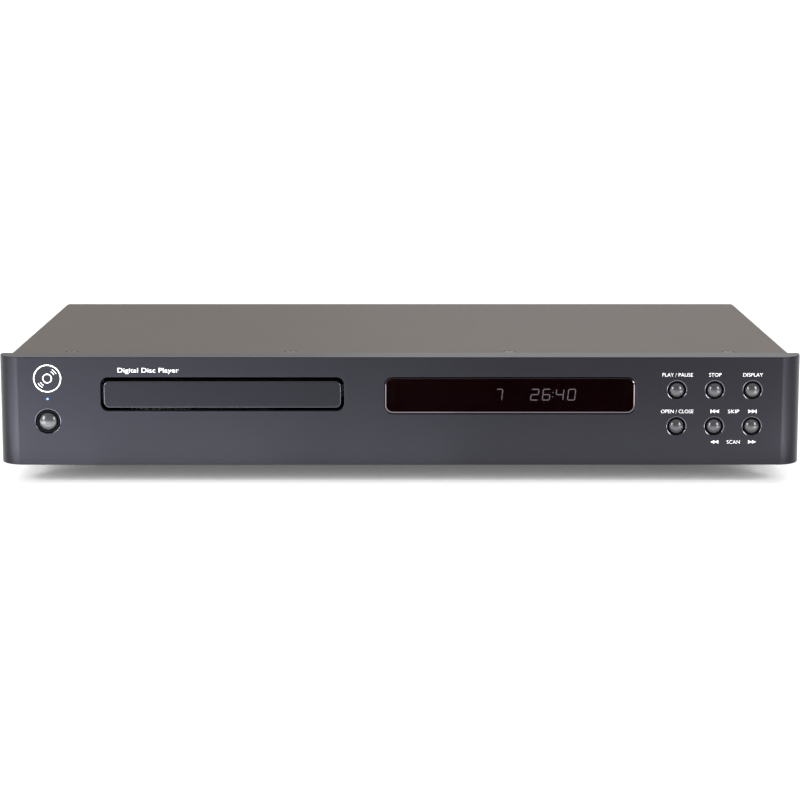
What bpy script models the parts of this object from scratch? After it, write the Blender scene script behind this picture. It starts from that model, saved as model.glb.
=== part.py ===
"""A slim full-width compact disc player, built as separate parts.

The frame is +X to the right seen from the front, +Y to the back and +Z up. The origin is on the
surface that the feet stand on, midway across the width and midway between the frontmost button and
the ends of the rear jacks. Lengths are in millimetres, and the functions that make objects convert
them to Blender's metres.
"""

import math

import bmesh
import bpy
from mathutils import Matrix, Vector

MM = 0.001
GAP = 0.3  # clearance between pieces that rest on each other

# Case
WIDTH = 435.0
DEPTH = 249.0
HEIGHT = 70.0
PANEL_HEIGHT = 59.0
PANEL_DEPTH = 17.0
PANEL_END_RADIUS = 12.0
PANEL_FRONT_WALL = 3.5
PANEL_WALL = 2.5
PANEL_EDGE = 0.8
POWER_DOME_PROUD = 1.5
JACK_PROUD = 9.5
SHEET = 1.0
COVER_WIDTH = 427.4
COVER_BEND = 3.0
FOOT_HEIGHT = 11.2
FOOT_RADIUS = 17.0
FOOT_X = 165.0
FOOT_FRONT_DEPTH = 74.0
FOOT_REAR_INSET = 32.0

PANEL_FACE = -DEPTH / 2 + POWER_DOME_PROUD
PANEL_BOTTOM = HEIGHT - PANEL_HEIGHT
PANEL_REAR = PANEL_FACE + PANEL_DEPTH
REAR_FACE = DEPTH / 2 - JACK_PROUD
COVER_TOP = HEIGHT - GAP
CEILING = COVER_TOP - SHEET
FLOOR = FOOT_HEIGHT + GAP + SHEET + 0.1
CHASSIS_WIDTH = COVER_WIDTH - 2 * SHEET - 2 * GAP
CHASSIS_FLANGE = 14.0

# Cover screws
SCREW_SPACING = 120.0
SCREW_DEPTH = 23.7
SCREW_HEAD_RADIUS = 3.0

# Tray slot, tray front and display window, in the plane of the panel
SLOT_X = -96.0
SLOT_WIDTH = 131.5
SLOT_LOW = 40.8
SLOT_HIGH = 59.0
SLOT_RADIUS = 4.0
FRONT_WIDTH = 128.2
FRONT_LOW = 42.4
FRONT_HIGH = 56.8
FRONT_RADIUS = 3.0
WINDOW_X = 59.4
WINDOW_WIDTH = 135.6
WINDOW_LOW = 39.2
WINDOW_HIGH = 59.1
WINDOW_RADIUS = 4.5

# Buttons
POWER_X = -190.5
POWER_Z = 34.9
POWER_CAP_RADIUS = 4.65
POWER_HOLE_RADIUS = 6.6
LED_Z = 47.2
LED_RADIUS = 0.9
KEY_COLUMNS = (149.6, 170.0, 190.4)
KEY_ROWS = (52.0, 32.2)
KEY_CAP_RADIUS = 3.75
KEY_HOLE_RADIUS = 4.85
KEY_PROUD = 1.2
KEY_NAMES = (
    ("play_button", "stop_button", "display_button"),
    ("open_close_button", "skip_back_button", "skip_forward_button"),
)
BOARD_DEPTH = 11.4
BOARD = 1.6

# Tray and loader. U is measured across from the tray's centre line, V back from the panel's face
DISC_V = 78.0
WELL_RADIUS = 60.75
SMALL_WELL_RADIUS = 40.75
TRAY_HALF = 63.25
TRAY_LENGTH = 195.0
TRAY_BOTTOM = 47.0
TRAY_TOP = 55.3
WELL_FLOOR = 52.0
SMALL_WELL_FLOOR = 50.5
TRAY_SLOT_HALF = 25.0
TONGUE_HALF = 65.2
TONGUE_LOW = 48.0
TONGUE_HIGH = 49.8
DECK_LOW = 29.0
DECK_HIGH = 31.0
LOADER_FRONT = 20.0
LOADER_REAR = 205.0
LOADER_WALL_IN = 66.2
LOADER_WALL_OUT = 69.2
LOADER_WALL_TOP = 57.0

# Loading gears: rack and pinion of module 1, reduction pair of module 0.8
RACK_MODULE = 1.0
RACK_PITCH_U = -53.0
RACK_TEETH = 50
RACK_START_V = 27.0
PINION_TEETH = 18
REDUCTION_MODULE = 0.8
WHEEL_TEETH = 36
PULLEY_PINION_TEETH = 12
DRIVE_V = 36.0
PULLEY_ANGLE = -10.0
BELT_WHEEL_RADIUS = 10.5
BELT_MOTOR_RADIUS = 3.5
BELT_SIZE = 1.2
BELT_Z = 33.5
MOTOR_U = 22.0
MOTOR_V = 33.0

# Traverse: the sub-frame that carries the spindle and the pickup. It is modelled level, then lowered
TRAVERSE_TILT = 4.0
HINGE_V = 187.0
HINGE_Z = 34.25
TRAVERSE_FRONT = 59.0
TRAVERSE_LEFT = -44.0
TRAVERSE_RIGHT = 38.0
TRAVERSE_LOW = 33.0
TRAVERSE_HIGH = 35.5
CAM_PIN_U = -8.0
CAM_PIN_RADIUS = 1.5
CAM_TRAVEL = 18.0
CAM_PLATE_V = 54.5
CAM_PLATE = 2.0
ROD_U = 21.0
ROD_Z = 40.0
ROD_RADIUS = 1.5
ROD_FRONT = 86.0
ROD_REAR = 174.0
SLED_FRONT = 92.0
SLED_REAR = 132.0
LENS_V = DISC_V + 23.0
SLED_MODULE = 0.8
SLED_PINION_TEETH = 12
SLED_RACK_U = -28.0
SLED_RACK_TEETH = 17
SLED_GEAR_V = 128.0
SLED_WHEEL_MODULE = 0.5
SLED_WHEEL_TEETH = 30
SLED_MOTOR_TEETH = 10
TURNTABLE_TOP = 54.0

# Rear sockets
MAINS_X = 190.0
MAINS_Z = 30.0
JACK_X = 70.0
JACK_HIGH_Z = 48.0
JACK_LOW_Z = 30.0
COAXIAL_X = 35.0
OPTICAL_X = 8.0
JACK_HOLE_RADIUS = 4.6
OPTICAL_HALF = 4.3
SHUTTER_THICK = 0.8
SHUTTER_FACE = REAR_FACE - 3.6

PRESSURE_ANGLE = math.radians(20)
ADDENDUM = 0.85
DEDENDUM = 1.2
BACKLASH = 0.13


def start_scene():
    """Clears the scene, and makes the collections for the parts and for the shapes that cut or join them."""
    for found in list(bpy.data.objects):
        bpy.data.objects.remove(found, do_unlink=True)
    made = []
    for name in ("disc_player", "cutters"):
        collection = bpy.data.collections.new(name)
        bpy.context.scene.collection.children.link(collection)
        made.append(collection)
    return made


PARTS, CUTTERS = start_scene()


# ---------------------------------------------------------------- materials


def make_material(name, colour, roughness, metallic=0.0):
    material = bpy.data.materials.new(name)
    material.use_nodes = True
    shader = material.node_tree.nodes["Principled BSDF"]
    shader.inputs["Base Color"].default_value = (*colour, 1.0)
    shader.inputs["Roughness"].default_value = roughness
    shader.inputs["Metallic"].default_value = metallic
    material.diffuse_color = (*colour, 1.0)
    return material


GRAPHITE = make_material("graphite_paint", (0.062, 0.066, 0.078), 0.38, 0.35)
COVER_PAINT = make_material("cover_paint", (0.085, 0.08, 0.075), 0.45, 0.2)
ZINC = make_material("zinc_steel", (0.62, 0.63, 0.65), 0.35, 1.0)
CHROME = make_material("bright_steel", (0.8, 0.8, 0.82), 0.12, 1.0)
BLACK_PLASTIC = make_material("black_plastic", (0.02, 0.02, 0.022), 0.5)
GREY_PLASTIC = make_material("grey_plastic", (0.24, 0.24, 0.25), 0.5)
WHITE_PLASTIC = make_material("white_plastic", (0.78, 0.77, 0.74), 0.45)
BUTTON_PLASTIC = make_material("button_plastic", (0.1, 0.1, 0.108), 0.28, 0.3)
SMOKED = make_material("smoked_acrylic", (0.012, 0.004, 0.004), 0.06)
GLASS = make_material("tube_glass", (0.05, 0.06, 0.06), 0.1)
BLUE_LED = make_material("blue_led", (0.2, 0.4, 1.0), 0.2)
CIRCUIT = make_material("circuit_board", (0.35, 0.27, 0.12), 0.5)
RUBBER = make_material("rubber", (0.015, 0.015, 0.015), 0.8)
RIBBON = make_material("ribbon_white", (0.75, 0.75, 0.72), 0.5)
LAMINATION = make_material("lamination", (0.28, 0.28, 0.3), 0.45, 0.8)


# ---------------------------------------------------------------- building blocks


def across(u):
    """X of a place measured from the tray's centre line."""
    return SLOT_X + u


def back(v):
    """Y of a place measured back from the panel's face."""
    return PANEL_FACE + v


def add(name, data, material=None):
    obj = bpy.data.objects.new(name, data)
    PARTS.objects.link(obj)
    if material:
        data.materials.clear()
        data.materials.append(material)
    return obj


def box(name, low, high, material=None):
    """A block between two corners."""
    low, high = Vector(low) * MM, Vector(high) * MM
    mesh = bpy.data.meshes.new(name)
    shape = bmesh.new()
    bmesh.ops.create_cube(shape, size=1.0)
    bmesh.ops.scale(shape, vec=high - low, verts=shape.verts)
    shape.to_mesh(mesh)
    shape.free()
    obj = add(name, mesh, material)
    obj.location = (low + high) / 2
    return obj


def round_edges(obj, width, segments=2, angle=60):
    """Rounds the edges that are sharper than the angle."""
    bevel = obj.modifiers.new("round_edges", "BEVEL")
    bevel.width = width * MM
    bevel.segments = segments
    bevel.limit_method = "ANGLE"
    bevel.angle_limit = math.radians(angle)
    return obj


def turn_axis(obj, axis):
    """Lays an object made along Z along another axis: its top then points to that axis's end."""
    turns = {"Z": (0, 0, 0), "-Y": (math.pi / 2, 0, 0), "Y": (-math.pi / 2, 0, 0), "X": (0, math.pi / 2, 0)}
    obj.rotation_euler = turns[axis]
    return obj


def cylinder(name, centre, radius, low, high, axis="Z", sides=24, material=None):
    """A rod between two distances along its axis. The other two coordinates come from centre."""
    mesh = bpy.data.meshes.new(name)
    shape = bmesh.new()
    bmesh.ops.create_cone(
        shape,
        cap_ends=True,
        segments=sides,
        radius1=radius * MM,
        radius2=radius * MM,
        depth=(high - low) * MM,
    )
    shape.to_mesh(mesh)
    shape.free()
    obj = turn_axis(add(name, mesh, material), axis)
    place = list(centre)
    place.insert("XYZ".index(axis[-1]), (low + high) / 2)
    obj.location = Vector(place) * MM
    smooth(mesh)
    return obj


def smooth(mesh):
    mesh.shade_smooth()
    mesh.set_sharp_from_angle(angle=math.radians(35))


def turned(name, profile, origin, axis="Z", steps=24, material=None, closed=False):
    """A turned solid. The profile's (radius, height) points run down the outer side from the top."""
    mesh = bpy.data.meshes.new(name)
    points = [(r * MM, 0.0, z * MM) for r, z in profile]
    edges = [(i, i + 1) for i in range(len(points) - 1)]
    if closed:
        edges.append((len(points) - 1, 0))
    mesh.from_pydata(points, edges, [])
    obj = turn_axis(add(name, mesh, material), axis)
    obj.location = Vector(origin) * MM
    screw = obj.modifiers.new("turn", "SCREW")
    screw.steps = steps
    screw.render_steps = steps
    screw.use_merge_vertices = True
    screw.merge_threshold = 0.00005
    screw.use_smooth_shade = False
    return obj


def plate(name, loops, low, high, axis="Z", material=None):
    """A flat outline with holes, between two distances along an axis. On -Y the outline's second
    coordinate is Z."""
    curve = bpy.data.curves.new(name, "CURVE")
    curve.dimensions = "2D"
    curve.fill_mode = "BOTH"
    curve.extrude = (high - low) / 2 * MM
    for loop in loops:
        spline = curve.splines.new("POLY")
        spline.points.add(len(loop) - 1)
        for point, (a, b) in zip(spline.points, loop):
            point.co = (a * MM, b * MM, 0.0, 1.0)
        spline.use_cyclic_u = True
    outline = bpy.data.objects.new(name + "_outline", curve)
    mesh = bpy.data.meshes.new_from_object(outline)
    bpy.data.objects.remove(outline)
    bpy.data.curves.remove(curve)
    shape = bmesh.new()
    shape.from_mesh(mesh)
    bmesh.ops.remove_doubles(shape, verts=shape.verts, dist=1e-6)
    bmesh.ops.recalc_face_normals(shape, faces=shape.faces)
    shape.to_mesh(mesh)
    shape.free()
    mesh.name = name
    obj = turn_axis(add(name, mesh, material), axis)
    middle = (low + high) / 2 * MM
    obj.location = (0, middle, 0) if axis[-1] == "Y" else (0, 0, middle)
    return obj


def folded(name, profile, low, high, thickness, axis="Y", material=None):
    """Sheet folded along a profile and as long as the two distances along the axis. The profile is
    the sheet's middle: (X, Z) points along Y, or (Y, Z) points along X."""
    mesh = bpy.data.meshes.new(name)
    shape = bmesh.new()
    lines = []
    for end in (low, high):
        if axis == "Y":
            places = [(a, end, b) for a, b in profile]
        else:
            places = [(end, a, b) for a, b in profile]
        lines.append([shape.verts.new(Vector(place) * MM) for place in places])
    near, far = lines
    for i in range(len(profile) - 1):
        shape.faces.new((near[i], near[i + 1], far[i + 1], far[i]))
    shape.to_mesh(mesh)
    shape.free()
    obj = add(name, mesh, material)
    solid = obj.modifiers.new("thickness", "SOLIDIFY")
    solid.thickness = thickness * MM
    solid.offset = 0.0
    solid.use_even_offset = True
    return obj


def combine(obj, others, operation):
    for other in others:
        modifier = obj.modifiers.new(operation.lower(), "BOOLEAN")
        modifier.operation = operation
        modifier.object = other
        other.hide_render = True
        other.display_type = "WIRE"
        PARTS.objects.unlink(other)
        CUTTERS.objects.link(other)
    return obj


def fuse(obj, *others):
    return combine(obj, others, "UNION")


def cut(obj, *others):
    return combine(obj, others, "DIFFERENCE")


def arc(centre, radius, start, end, steps):
    """Points on an arc between two angles in degrees, ends included."""
    cx, cy = centre
    angles = [math.radians(start + (end - start) * i / steps) for i in range(steps + 1)]
    return [(cx + radius * math.cos(a), cy + radius * math.sin(a)) for a in angles]


def circle(centre, radius, sides=24):
    return arc(centre, radius, 0, 360, sides)[:-1]


def rounded_rectangle(low, high, radius, steps=4):
    (x0, y0), (x1, y1) = low, high
    return (
        arc((x1 - radius, y1 - radius), radius, 0, 90, steps)
        + arc((x0 + radius, y1 - radius), radius, 90, 180, steps)
        + arc((x0 + radius, y0 + radius), radius, 180, 270, steps)
        + arc((x1 - radius, y0 + radius), radius, 270, 360, steps)
    )


def slot_outline(low, high, steps=4):
    (x0, y0), (x1, y1) = low, high
    return rounded_rectangle(low, high, min(x1 - x0, y1 - y0) / 2 - 0.01, steps)


# ---------------------------------------------------------------- gears


def involute(angle):
    return math.tan(angle) - angle


def gear_outline(centre, teeth, module, tooth_angle):
    """A spur gear with a tooth centred at the given angle in degrees."""
    pitch = module * teeth / 2
    base = pitch * math.cos(PRESSURE_ANGLE)
    root = pitch - DEDENDUM * module
    tip = pitch + ADDENDUM * module
    flank = (root, max(base, root + 0.1 * module), tip)
    half = math.pi / (2 * teeth) * (1 - BACKLASH) + involute(PRESSURE_ANGLE)

    def half_angle(radius):
        if radius <= base:
            return half
        return half - involute(math.acos(base / radius))

    points = []
    for tooth in range(teeth):
        middle = math.radians(tooth_angle) + 2 * math.pi * tooth / teeth
        rising = [(r, middle - half_angle(r)) for r in flank]
        falling = [(r, middle + half_angle(r)) for r in reversed(flank)]
        points += rising + falling
    cx, cy = centre
    return [(cx + r * math.cos(a), cy + r * math.sin(a)) for r, a in points]


def rack_outline(pitch_x, back_x, first_gap, gaps, module, facing):
    """A straight rack along Y. Its gaps are centred from first_gap on, and facing is 1 where the teeth
    point to +X."""
    pitch = math.pi * module
    half = pitch / 4 * (1 - BACKLASH)
    lean = math.tan(PRESSURE_ANGLE) * module
    tip_x = pitch_x + facing * ADDENDUM * module
    root_x = pitch_x - facing * DEDENDUM * module
    start = first_gap - pitch / 2
    points = [(back_x, start - pitch / 2), (root_x, start - pitch / 2)]
    for tooth in range(gaps):
        middle = start + tooth * pitch
        points += [
            (root_x, middle - half - DEDENDUM * lean),
            (tip_x, middle - half + ADDENDUM * lean),
            (tip_x, middle + half - ADDENDUM * lean),
            (root_x, middle + half + DEDENDUM * lean),
        ]
    end = start + (gaps - 0.5) * pitch
    points += [(root_x, end), (back_x, end)]
    return points


# ---------------------------------------------------------------- case


def panel_plan(inset, depth_from, end_radius, rear):
    """The front panel's outline seen from above: straight sides and a rounded end at each side."""
    half = WIDTH / 2 - inset
    front = back(depth_from)
    left = arc((-half + end_radius, front + end_radius), end_radius, 180, 270, 6)
    right = arc((half - end_radius, front + end_radius), end_radius, 270, 360, 6)
    return [(-half, rear)] + left + right + [(half, rear)]


def panel_opening(name, low, high, radius, grow=0.0):
    x0, z0 = low
    x1, z1 = high
    outline = rounded_rectangle((x0 - grow, z0 - grow), (x1 + grow, z1 + grow), radius + grow)
    return plate(name, [outline], back(-4), back(PANEL_FRONT_WALL + 2), "-Y")


def hole_with_chamfer(name, x, z, radius, chamfer):
    """A turned cutter for a round hole in the panel, opened out at the face."""
    profile = [
        (0, 5),
        (radius + chamfer + 5, 5),
        (radius, -chamfer),
        (radius, -PANEL_FRONT_WALL - 2),
        (0, -PANEL_FRONT_WALL - 2),
    ]
    return turned(name, profile, (x, PANEL_FACE, z), "-Y")


def make_front_panel():
    outer = panel_plan(0, 0, PANEL_END_RADIUS, PANEL_REAR)
    panel = plate("front_panel", [outer], PANEL_BOTTOM, HEIGHT, material=GRAPHITE)
    round_edges(panel, PANEL_EDGE)
    hollow_plan = panel_plan(PANEL_WALL, PANEL_FRONT_WALL, PANEL_END_RADIUS - 3, PANEL_REAR + 5)
    cut(panel, plate("panel_hollow", [hollow_plan], PANEL_BOTTOM + PANEL_WALL, HEIGHT - PANEL_WALL))
    half = SLOT_WIDTH / 2
    slot = panel_opening("tray_slot", (SLOT_X - half, SLOT_LOW), (SLOT_X + half, SLOT_HIGH), SLOT_RADIUS)
    half = WINDOW_WIDTH / 2
    low, high = (WINDOW_X - half, WINDOW_LOW), (WINDOW_X + half, WINDOW_HIGH)
    cut(panel, slot, panel_opening("window_opening", low, high, WINDOW_RADIUS))
    cut(panel, hole_with_chamfer("power_hole", POWER_X, POWER_Z, POWER_HOLE_RADIUS, 0.5))
    for row, z in enumerate(KEY_ROWS):
        for column, x in enumerate(KEY_COLUMNS):
            cut(panel, hole_with_chamfer(f"key_hole_{row}{column}", x, z, KEY_HOLE_RADIUS, 0.6))
    cut(panel, hole_with_chamfer("led_hole", POWER_X, LED_Z, LED_RADIUS + GAP, 0.1))
    return panel


def bent_profile(half_width, end_z, flat_z, radius):
    """The middle line of a U of sheet, from its left end over the flat to its right end."""
    sign = 1 if flat_z > end_z else -1
    centre_z = flat_z - sign * radius
    left = arc((-half_width + radius, centre_z), radius, 180, 180 - sign * 90, 4)
    right = arc((half_width - radius, centre_z), radius, sign * 90, 0, 4)
    return [(-half_width, end_z)] + left + right + [(half_width, end_z)]


def make_top_cover():
    half = COVER_WIDTH / 2 - SHEET / 2
    profile = bent_profile(half, FOOT_HEIGHT + 0.8, COVER_TOP - SHEET / 2, COVER_BEND - SHEET / 2)
    cover = folded("top_cover", profile, PANEL_REAR + GAP, REAR_FACE, SHEET, material=COVER_PAINT)
    for i in range(4):
        x = (i - 1.5) * SCREW_SPACING
        hole = cylinder(f"screw_hole_{i}", (x, back(SCREW_DEPTH)), SCREW_HEAD_RADIUS + GAP, 60, 75)
        cut(cover, hole)
    return cover


def make_cover_screw(i):
    """A countersunk screw, flush with the cover."""
    x = (i - 1.5) * SCREW_SPACING
    top = COVER_TOP - 0.1
    profile = [(0, top), (SCREW_HEAD_RADIUS, top), (SCREW_HEAD_RADIUS, top - 0.4), (1.5, top - 1.9)]
    profile += [(1.5, CEILING - 7), (0, CEILING - 7)]
    return turned(f"cover_screw_{i + 1}", profile, (x, back(SCREW_DEPTH), 0), material=ZINC, steps=20)


def make_bottom_chassis():
    half = CHASSIS_WIDTH / 2 - SHEET / 2
    profile = bent_profile(half, FLOOR + CHASSIS_FLANGE, FLOOR - SHEET / 2, 1.5)
    chassis = folded(
        "bottom_chassis", profile, PANEL_REAR + GAP, REAR_FACE - SHEET - GAP, SHEET, material=ZINC
    )
    for row in range(2):
        for i in range(7):
            x = 20 + i * 12
            y = -35 + row * 60
            outline = slot_outline((x, y), (x + 4, y + 34), 2)
            cut(chassis, plate(f"vent_{row}{i}", [outline], FLOOR - 4, FLOOR + 4))
    return chassis


def make_front_plate():
    """The steel plate behind the panel, with a lip that the cover's screws reach."""
    half = CHASSIS_WIDTH / 2 - SHEET - GAP
    low, high = FLOOR + GAP, CEILING - GAP
    start = PANEL_DEPTH + GAP
    upright = plate(
        "front_plate",
        [
            [(-half, low), (half, low), (half, high), (-half, high)],
            rounded_rectangle((across(-68), 37), (across(68), 62), 2, 2),
            rounded_rectangle((40, 20), (100, 34), 2, 2),
        ],
        back(start),
        back(start + SHEET),
        "-Y",
        ZINC,
    )
    lip = box("front_lip", (-half, back(start + 0.5), high - SHEET), (half, back(start + 12), high))
    fuse(upright, lip)
    for i in range(4):
        x = (i - 1.5) * SCREW_SPACING
        cut(upright, cylinder(f"lip_hole_{i}", (x, back(SCREW_DEPTH)), 2.7, 60, 75, sides=12))
    return upright


def make_rear_panel():
    half = CHASSIS_WIDTH / 2
    outline = rounded_rectangle((-half, FLOOR + GAP), (half, CEILING - GAP), 2, 2)
    holes = [
        circle((JACK_X, JACK_HIGH_Z), JACK_HOLE_RADIUS, 20),
        circle((JACK_X, JACK_LOW_Z), JACK_HOLE_RADIUS, 20),
        circle((COAXIAL_X, JACK_LOW_Z), JACK_HOLE_RADIUS, 20),
        rounded_rectangle((OPTICAL_X - 7.3, JACK_LOW_Z - 6.3), (OPTICAL_X + 7.3, JACK_LOW_Z + 6.3), 0.5, 1),
        rounded_rectangle((MAINS_X - 11.3, MAINS_Z - 7.3), (MAINS_X + 11.3, MAINS_Z + 7.3), 1, 2),
    ]
    return plate("rear_panel", [outline] + holes, REAR_FACE - SHEET, REAR_FACE, "-Y", COVER_PAINT)


def make_foot(name, x, y):
    """A round foot with a tapered side and a bevelled tread."""
    r, top = FOOT_RADIUS, FOOT_HEIGHT
    profile = [(0, top), (r - 1, top), (r, top - 1), (r - 2, 1.2), (r - 3.2, 0), (0, 0)]
    return turned(name, profile, (x, y, 0), steps=28, material=RUBBER)


def make_feet():
    rear = REAR_FACE - FOOT_REAR_INSET
    front = back(FOOT_FRONT_DEPTH)
    for name, x, y in (
        ("foot_front_left", -FOOT_X, front),
        ("foot_front_right", FOOT_X, front),
        ("foot_rear_left", -FOOT_X, rear),
        ("foot_rear_right", FOOT_X, rear),
    ):
        make_foot(name, x, y)


# ---------------------------------------------------------------- front controls


def make_window():
    """The smoked lens: a face that fills the opening and a flange behind the panel's wall."""
    half, rim = WINDOW_WIDTH / 2 - 0.4, 0.4
    low, high = (WINDOW_X - half, WINDOW_LOW + rim), (WINDOW_X + half, WINDOW_HIGH - rim)
    face = plate(
        "display_window",
        [rounded_rectangle(low, high, WINDOW_RADIUS - rim)],
        back(0.1),
        back(PANEL_FRONT_WALL + 1),
        "-Y",
        SMOKED,
    )
    flange = box(
        "window_flange",
        (low[0] - 3, back(PANEL_FRONT_WALL + GAP), low[1] - 3),
        (high[0] + 3, back(PANEL_FRONT_WALL + 1.5), high[1] + 3),
    )
    return fuse(face, flange)


def make_display_module():
    """The display tube: a glass envelope on a frame."""
    glass = box("display_module", (-2, back(5.6), 37.5), (121, back(9.4), 61), GLASS)
    round_edges(glass, 0.6, 1)
    frame = box("tube_frame", (0, back(9), 39), (119, back(BOARD_DEPTH - GAP), 59.5))
    return fuse(glass, frame)


def make_front_board():
    board = box(
        "front_board", (-12, back(BOARD_DEPTH), 14), (206, back(BOARD_DEPTH + BOARD), 66), CIRCUIT
    )
    for row, z in enumerate(KEY_ROWS):
        for column, x in enumerate(KEY_COLUMNS):
            low, high = (x - 3, back(BOARD_DEPTH - 0.5), z - 3), (x + 3, back(BOARD_DEPTH + 0.5), z + 3)
            fuse(board, box(f"tact_switch_{row}{column}", low, high))
    socket = box("ribbon_socket", (56, back(BOARD_DEPTH + 1), 23), (84, back(BOARD_DEPTH + 4), 30))
    return fuse(board, socket)


def make_power_board():
    board = box(
        "power_key_board",
        (POWER_X - 18, back(BOARD_DEPTH), 16),
        (POWER_X + 18, back(BOARD_DEPTH + BOARD), 58),
        CIRCUIT,
    )
    switch = box(
        "power_switch",
        (POWER_X - 3, back(BOARD_DEPTH - 0.5), POWER_Z - 3),
        (POWER_X + 3, back(BOARD_DEPTH + 0.5), POWER_Z + 3),
    )
    return fuse(board, switch)


def make_button(name, x, z, radius, flange, proud):
    """A domed cap, a flange that keeps it behind the panel, and a stem that reaches its switch."""
    dome = [(radius * math.sin(math.radians(a)), proud - 1.9 * (1 - math.cos(math.radians(a))))
            for a in (0, 25, 50, 90)]
    dome[0] = (0, proud)
    profile = dome + [(radius, -6.1), (flange, -6.1), (flange, -7.1), (1.5, -7.1), (1.5, -9.6), (0, -9.6)]
    return turned(name, profile, (x, PANEL_FACE, z), "-Y", steps=20, material=BUTTON_PLASTIC)


def make_guide(name, low, high, holes, outer, inner):
    """The black plate behind the panel whose collars line the button holes."""
    plate_front, plate_rear = PANEL_FRONT_WALL + GAP, PANEL_FRONT_WALL + 2.3
    guide = plate(
        name,
        [rounded_rectangle(low, high, 1.5, 2)] + [circle(hole, inner, 16) for hole in holes],
        back(plate_front),
        back(plate_rear),
        "-Y",
        BLACK_PLASTIC,
    )
    for i, hole in enumerate(holes):
        collar = plate(
            f"{name}_collar_{i}",
            [circle(hole, outer, 16), circle(hole, inner, 16)],
            back(1.0),
            back(plate_rear - 0.5),
            "-Y",
        )
        fuse(guide, collar)
    return guide


def make_controls():
    make_window()
    make_display_module()
    make_front_board()
    make_power_board()
    keys = [(x, z) for z in KEY_ROWS for x in KEY_COLUMNS]
    make_guide("key_guide", (141, 25), (199, 59), keys, KEY_HOLE_RADIUS - GAP, KEY_CAP_RADIUS + 0.25)
    make_guide(
        "power_guide",
        (POWER_X - 13, POWER_Z - 11),
        (POWER_X + 13, POWER_Z + 10),
        [(POWER_X, POWER_Z)],
        POWER_HOLE_RADIUS - GAP,
        POWER_CAP_RADIUS + 0.3,
    )
    make_button("power_button", POWER_X, POWER_Z, POWER_CAP_RADIUS, 6.0, POWER_DOME_PROUD)
    for names, z in zip(KEY_NAMES, KEY_ROWS):
        for name, x in zip(names, KEY_COLUMNS):
            make_button(name, x, z, KEY_CAP_RADIUS, 4.9, KEY_PROUD)
    r = LED_RADIUS
    profile = [(0, 0.1), (r * 0.7, 0), (r, -0.3), (r, -4.0), (r + 0.9, -4.0), (r + 0.9, -5.5), (r, -5.5)]
    profile += [(r, -10), (0, -10)]
    turned("power_led", profile, (POWER_X, PANEL_FACE, LED_Z), "-Y", steps=16, material=BLUE_LED)


# ---------------------------------------------------------------- rear sockets and electronics


def make_jack(name, x, z, ring_material):
    """A phono socket: insulating body through the panel, collar outside, barrel with a centre hole."""
    profile = [
        (4.15, JACK_PROUD),
        (4.15, 2.4),
        (5.9, 2.4),
        (5.9, GAP),
        (4.2, GAP),
        (4.2, -SHEET - GAP),
        (5.5, -SHEET - GAP),
        (5.5, -12),
        (0, -12),
        (0, JACK_PROUD - 8.5),
        (1.65, JACK_PROUD - 8.5),
        (1.65, JACK_PROUD),
    ]
    return turned(name, profile, (x, REAR_FACE, z), "Y", steps=16, material=ring_material, closed=True)


def make_optical_socket():
    """A square optical socket, open at the rear, with room above its mouth for the shutter."""
    z = JACK_LOW_Z
    body = box(
        "optical_out", (OPTICAL_X - 7, REAR_FACE - 17.2, z - 6), (OPTICAL_X + 7, REAR_FACE + 0.8, z + 6), BLACK_PLASTIC
    )
    mouth = box(
        "optical_mouth",
        (OPTICAL_X - OPTICAL_HALF, REAR_FACE - 13.2, z - OPTICAL_HALF),
        (OPTICAL_X + OPTICAL_HALF, REAR_FACE + 3, z + OPTICAL_HALF + 0.9),
    )
    cut(body, mouth)
    half = OPTICAL_HALF - GAP
    shutter = box(
        "optical_shutter",
        (OPTICAL_X - half, SHUTTER_FACE - SHUTTER_THICK, z - half),
        (OPTICAL_X + half, SHUTTER_FACE, z + OPTICAL_HALF + 0.9 - GAP),
        GREY_PLASTIC,
    )
    return body, shutter


def make_mains_inlet():
    """A two-pin mains inlet: a flanged block with a recess of two joined rounds and its pins."""
    x, z = MAINS_X, MAINS_Z
    body = box("mains_inlet", (x - 11, REAR_FACE - 18, z - 7), (x + 11, REAR_FACE - 0.5, z + 7), BLACK_PLASTIC)
    outline = rounded_rectangle((x - 14, z - 9.5), (x + 14, z + 9.5), 2, 3)
    flange = plate("inlet_flange", [outline], REAR_FACE + GAP, REAR_FACE + 2.0, "-Y")
    neck = box("inlet_neck", (x - 11, REAR_FACE - 1, z - 7), (x + 11, REAR_FACE + 1, z + 7))
    fuse(body, neck, flange)
    recess = slot_outline((x - 8.3, z - 4.3), (x + 8.3, z + 4.3), 6)
    cut(body, plate("inlet_recess", [recess], REAR_FACE - 10, REAR_FACE + 4, "-Y"))
    for side in (-1, 1):
        pin = cylinder(f"inlet_pin_{side}", (x + side * 4.3, z), 1.2, REAR_FACE - 12, REAR_FACE - 1, "-Y", 12)
        fuse(body, pin)
    return body


def make_main_board():
    """The signal board on its standoffs, with its converter, processor and socket blocks."""
    top = FLOOR + 8 + BOARD
    board = box("main_board", (-14, -20, top - BOARD), (100, REAR_FACE - 5, top), CIRCUIT)
    for i, (x, y) in enumerate(((-8, -14), (94, -14), (-8, 98), (94, 98))):
        fuse(board, cylinder(f"standoff_{i}", (x, y), 3, FLOOR + GAP, top - 1, sides=10))
    parts = (
        ((10, 10), (24, 24), 1.6),
        ((44, 14), (58, 28), 1.6),
        ((70, 50), (76, 60), 1.8),
        ((20, 50), (28, 56), 1.8),
        ((56, -18), (84, -12), 6.0),
        ((-12, 60), (-6, 84), 6.0),
    )
    for i, ((x0, y0), (x1, y1), height) in enumerate(parts):
        fuse(board, box(f"chip_{i}", (x0, y0, top - 0.5), (x1, y1, top + height)))
    return board


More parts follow.
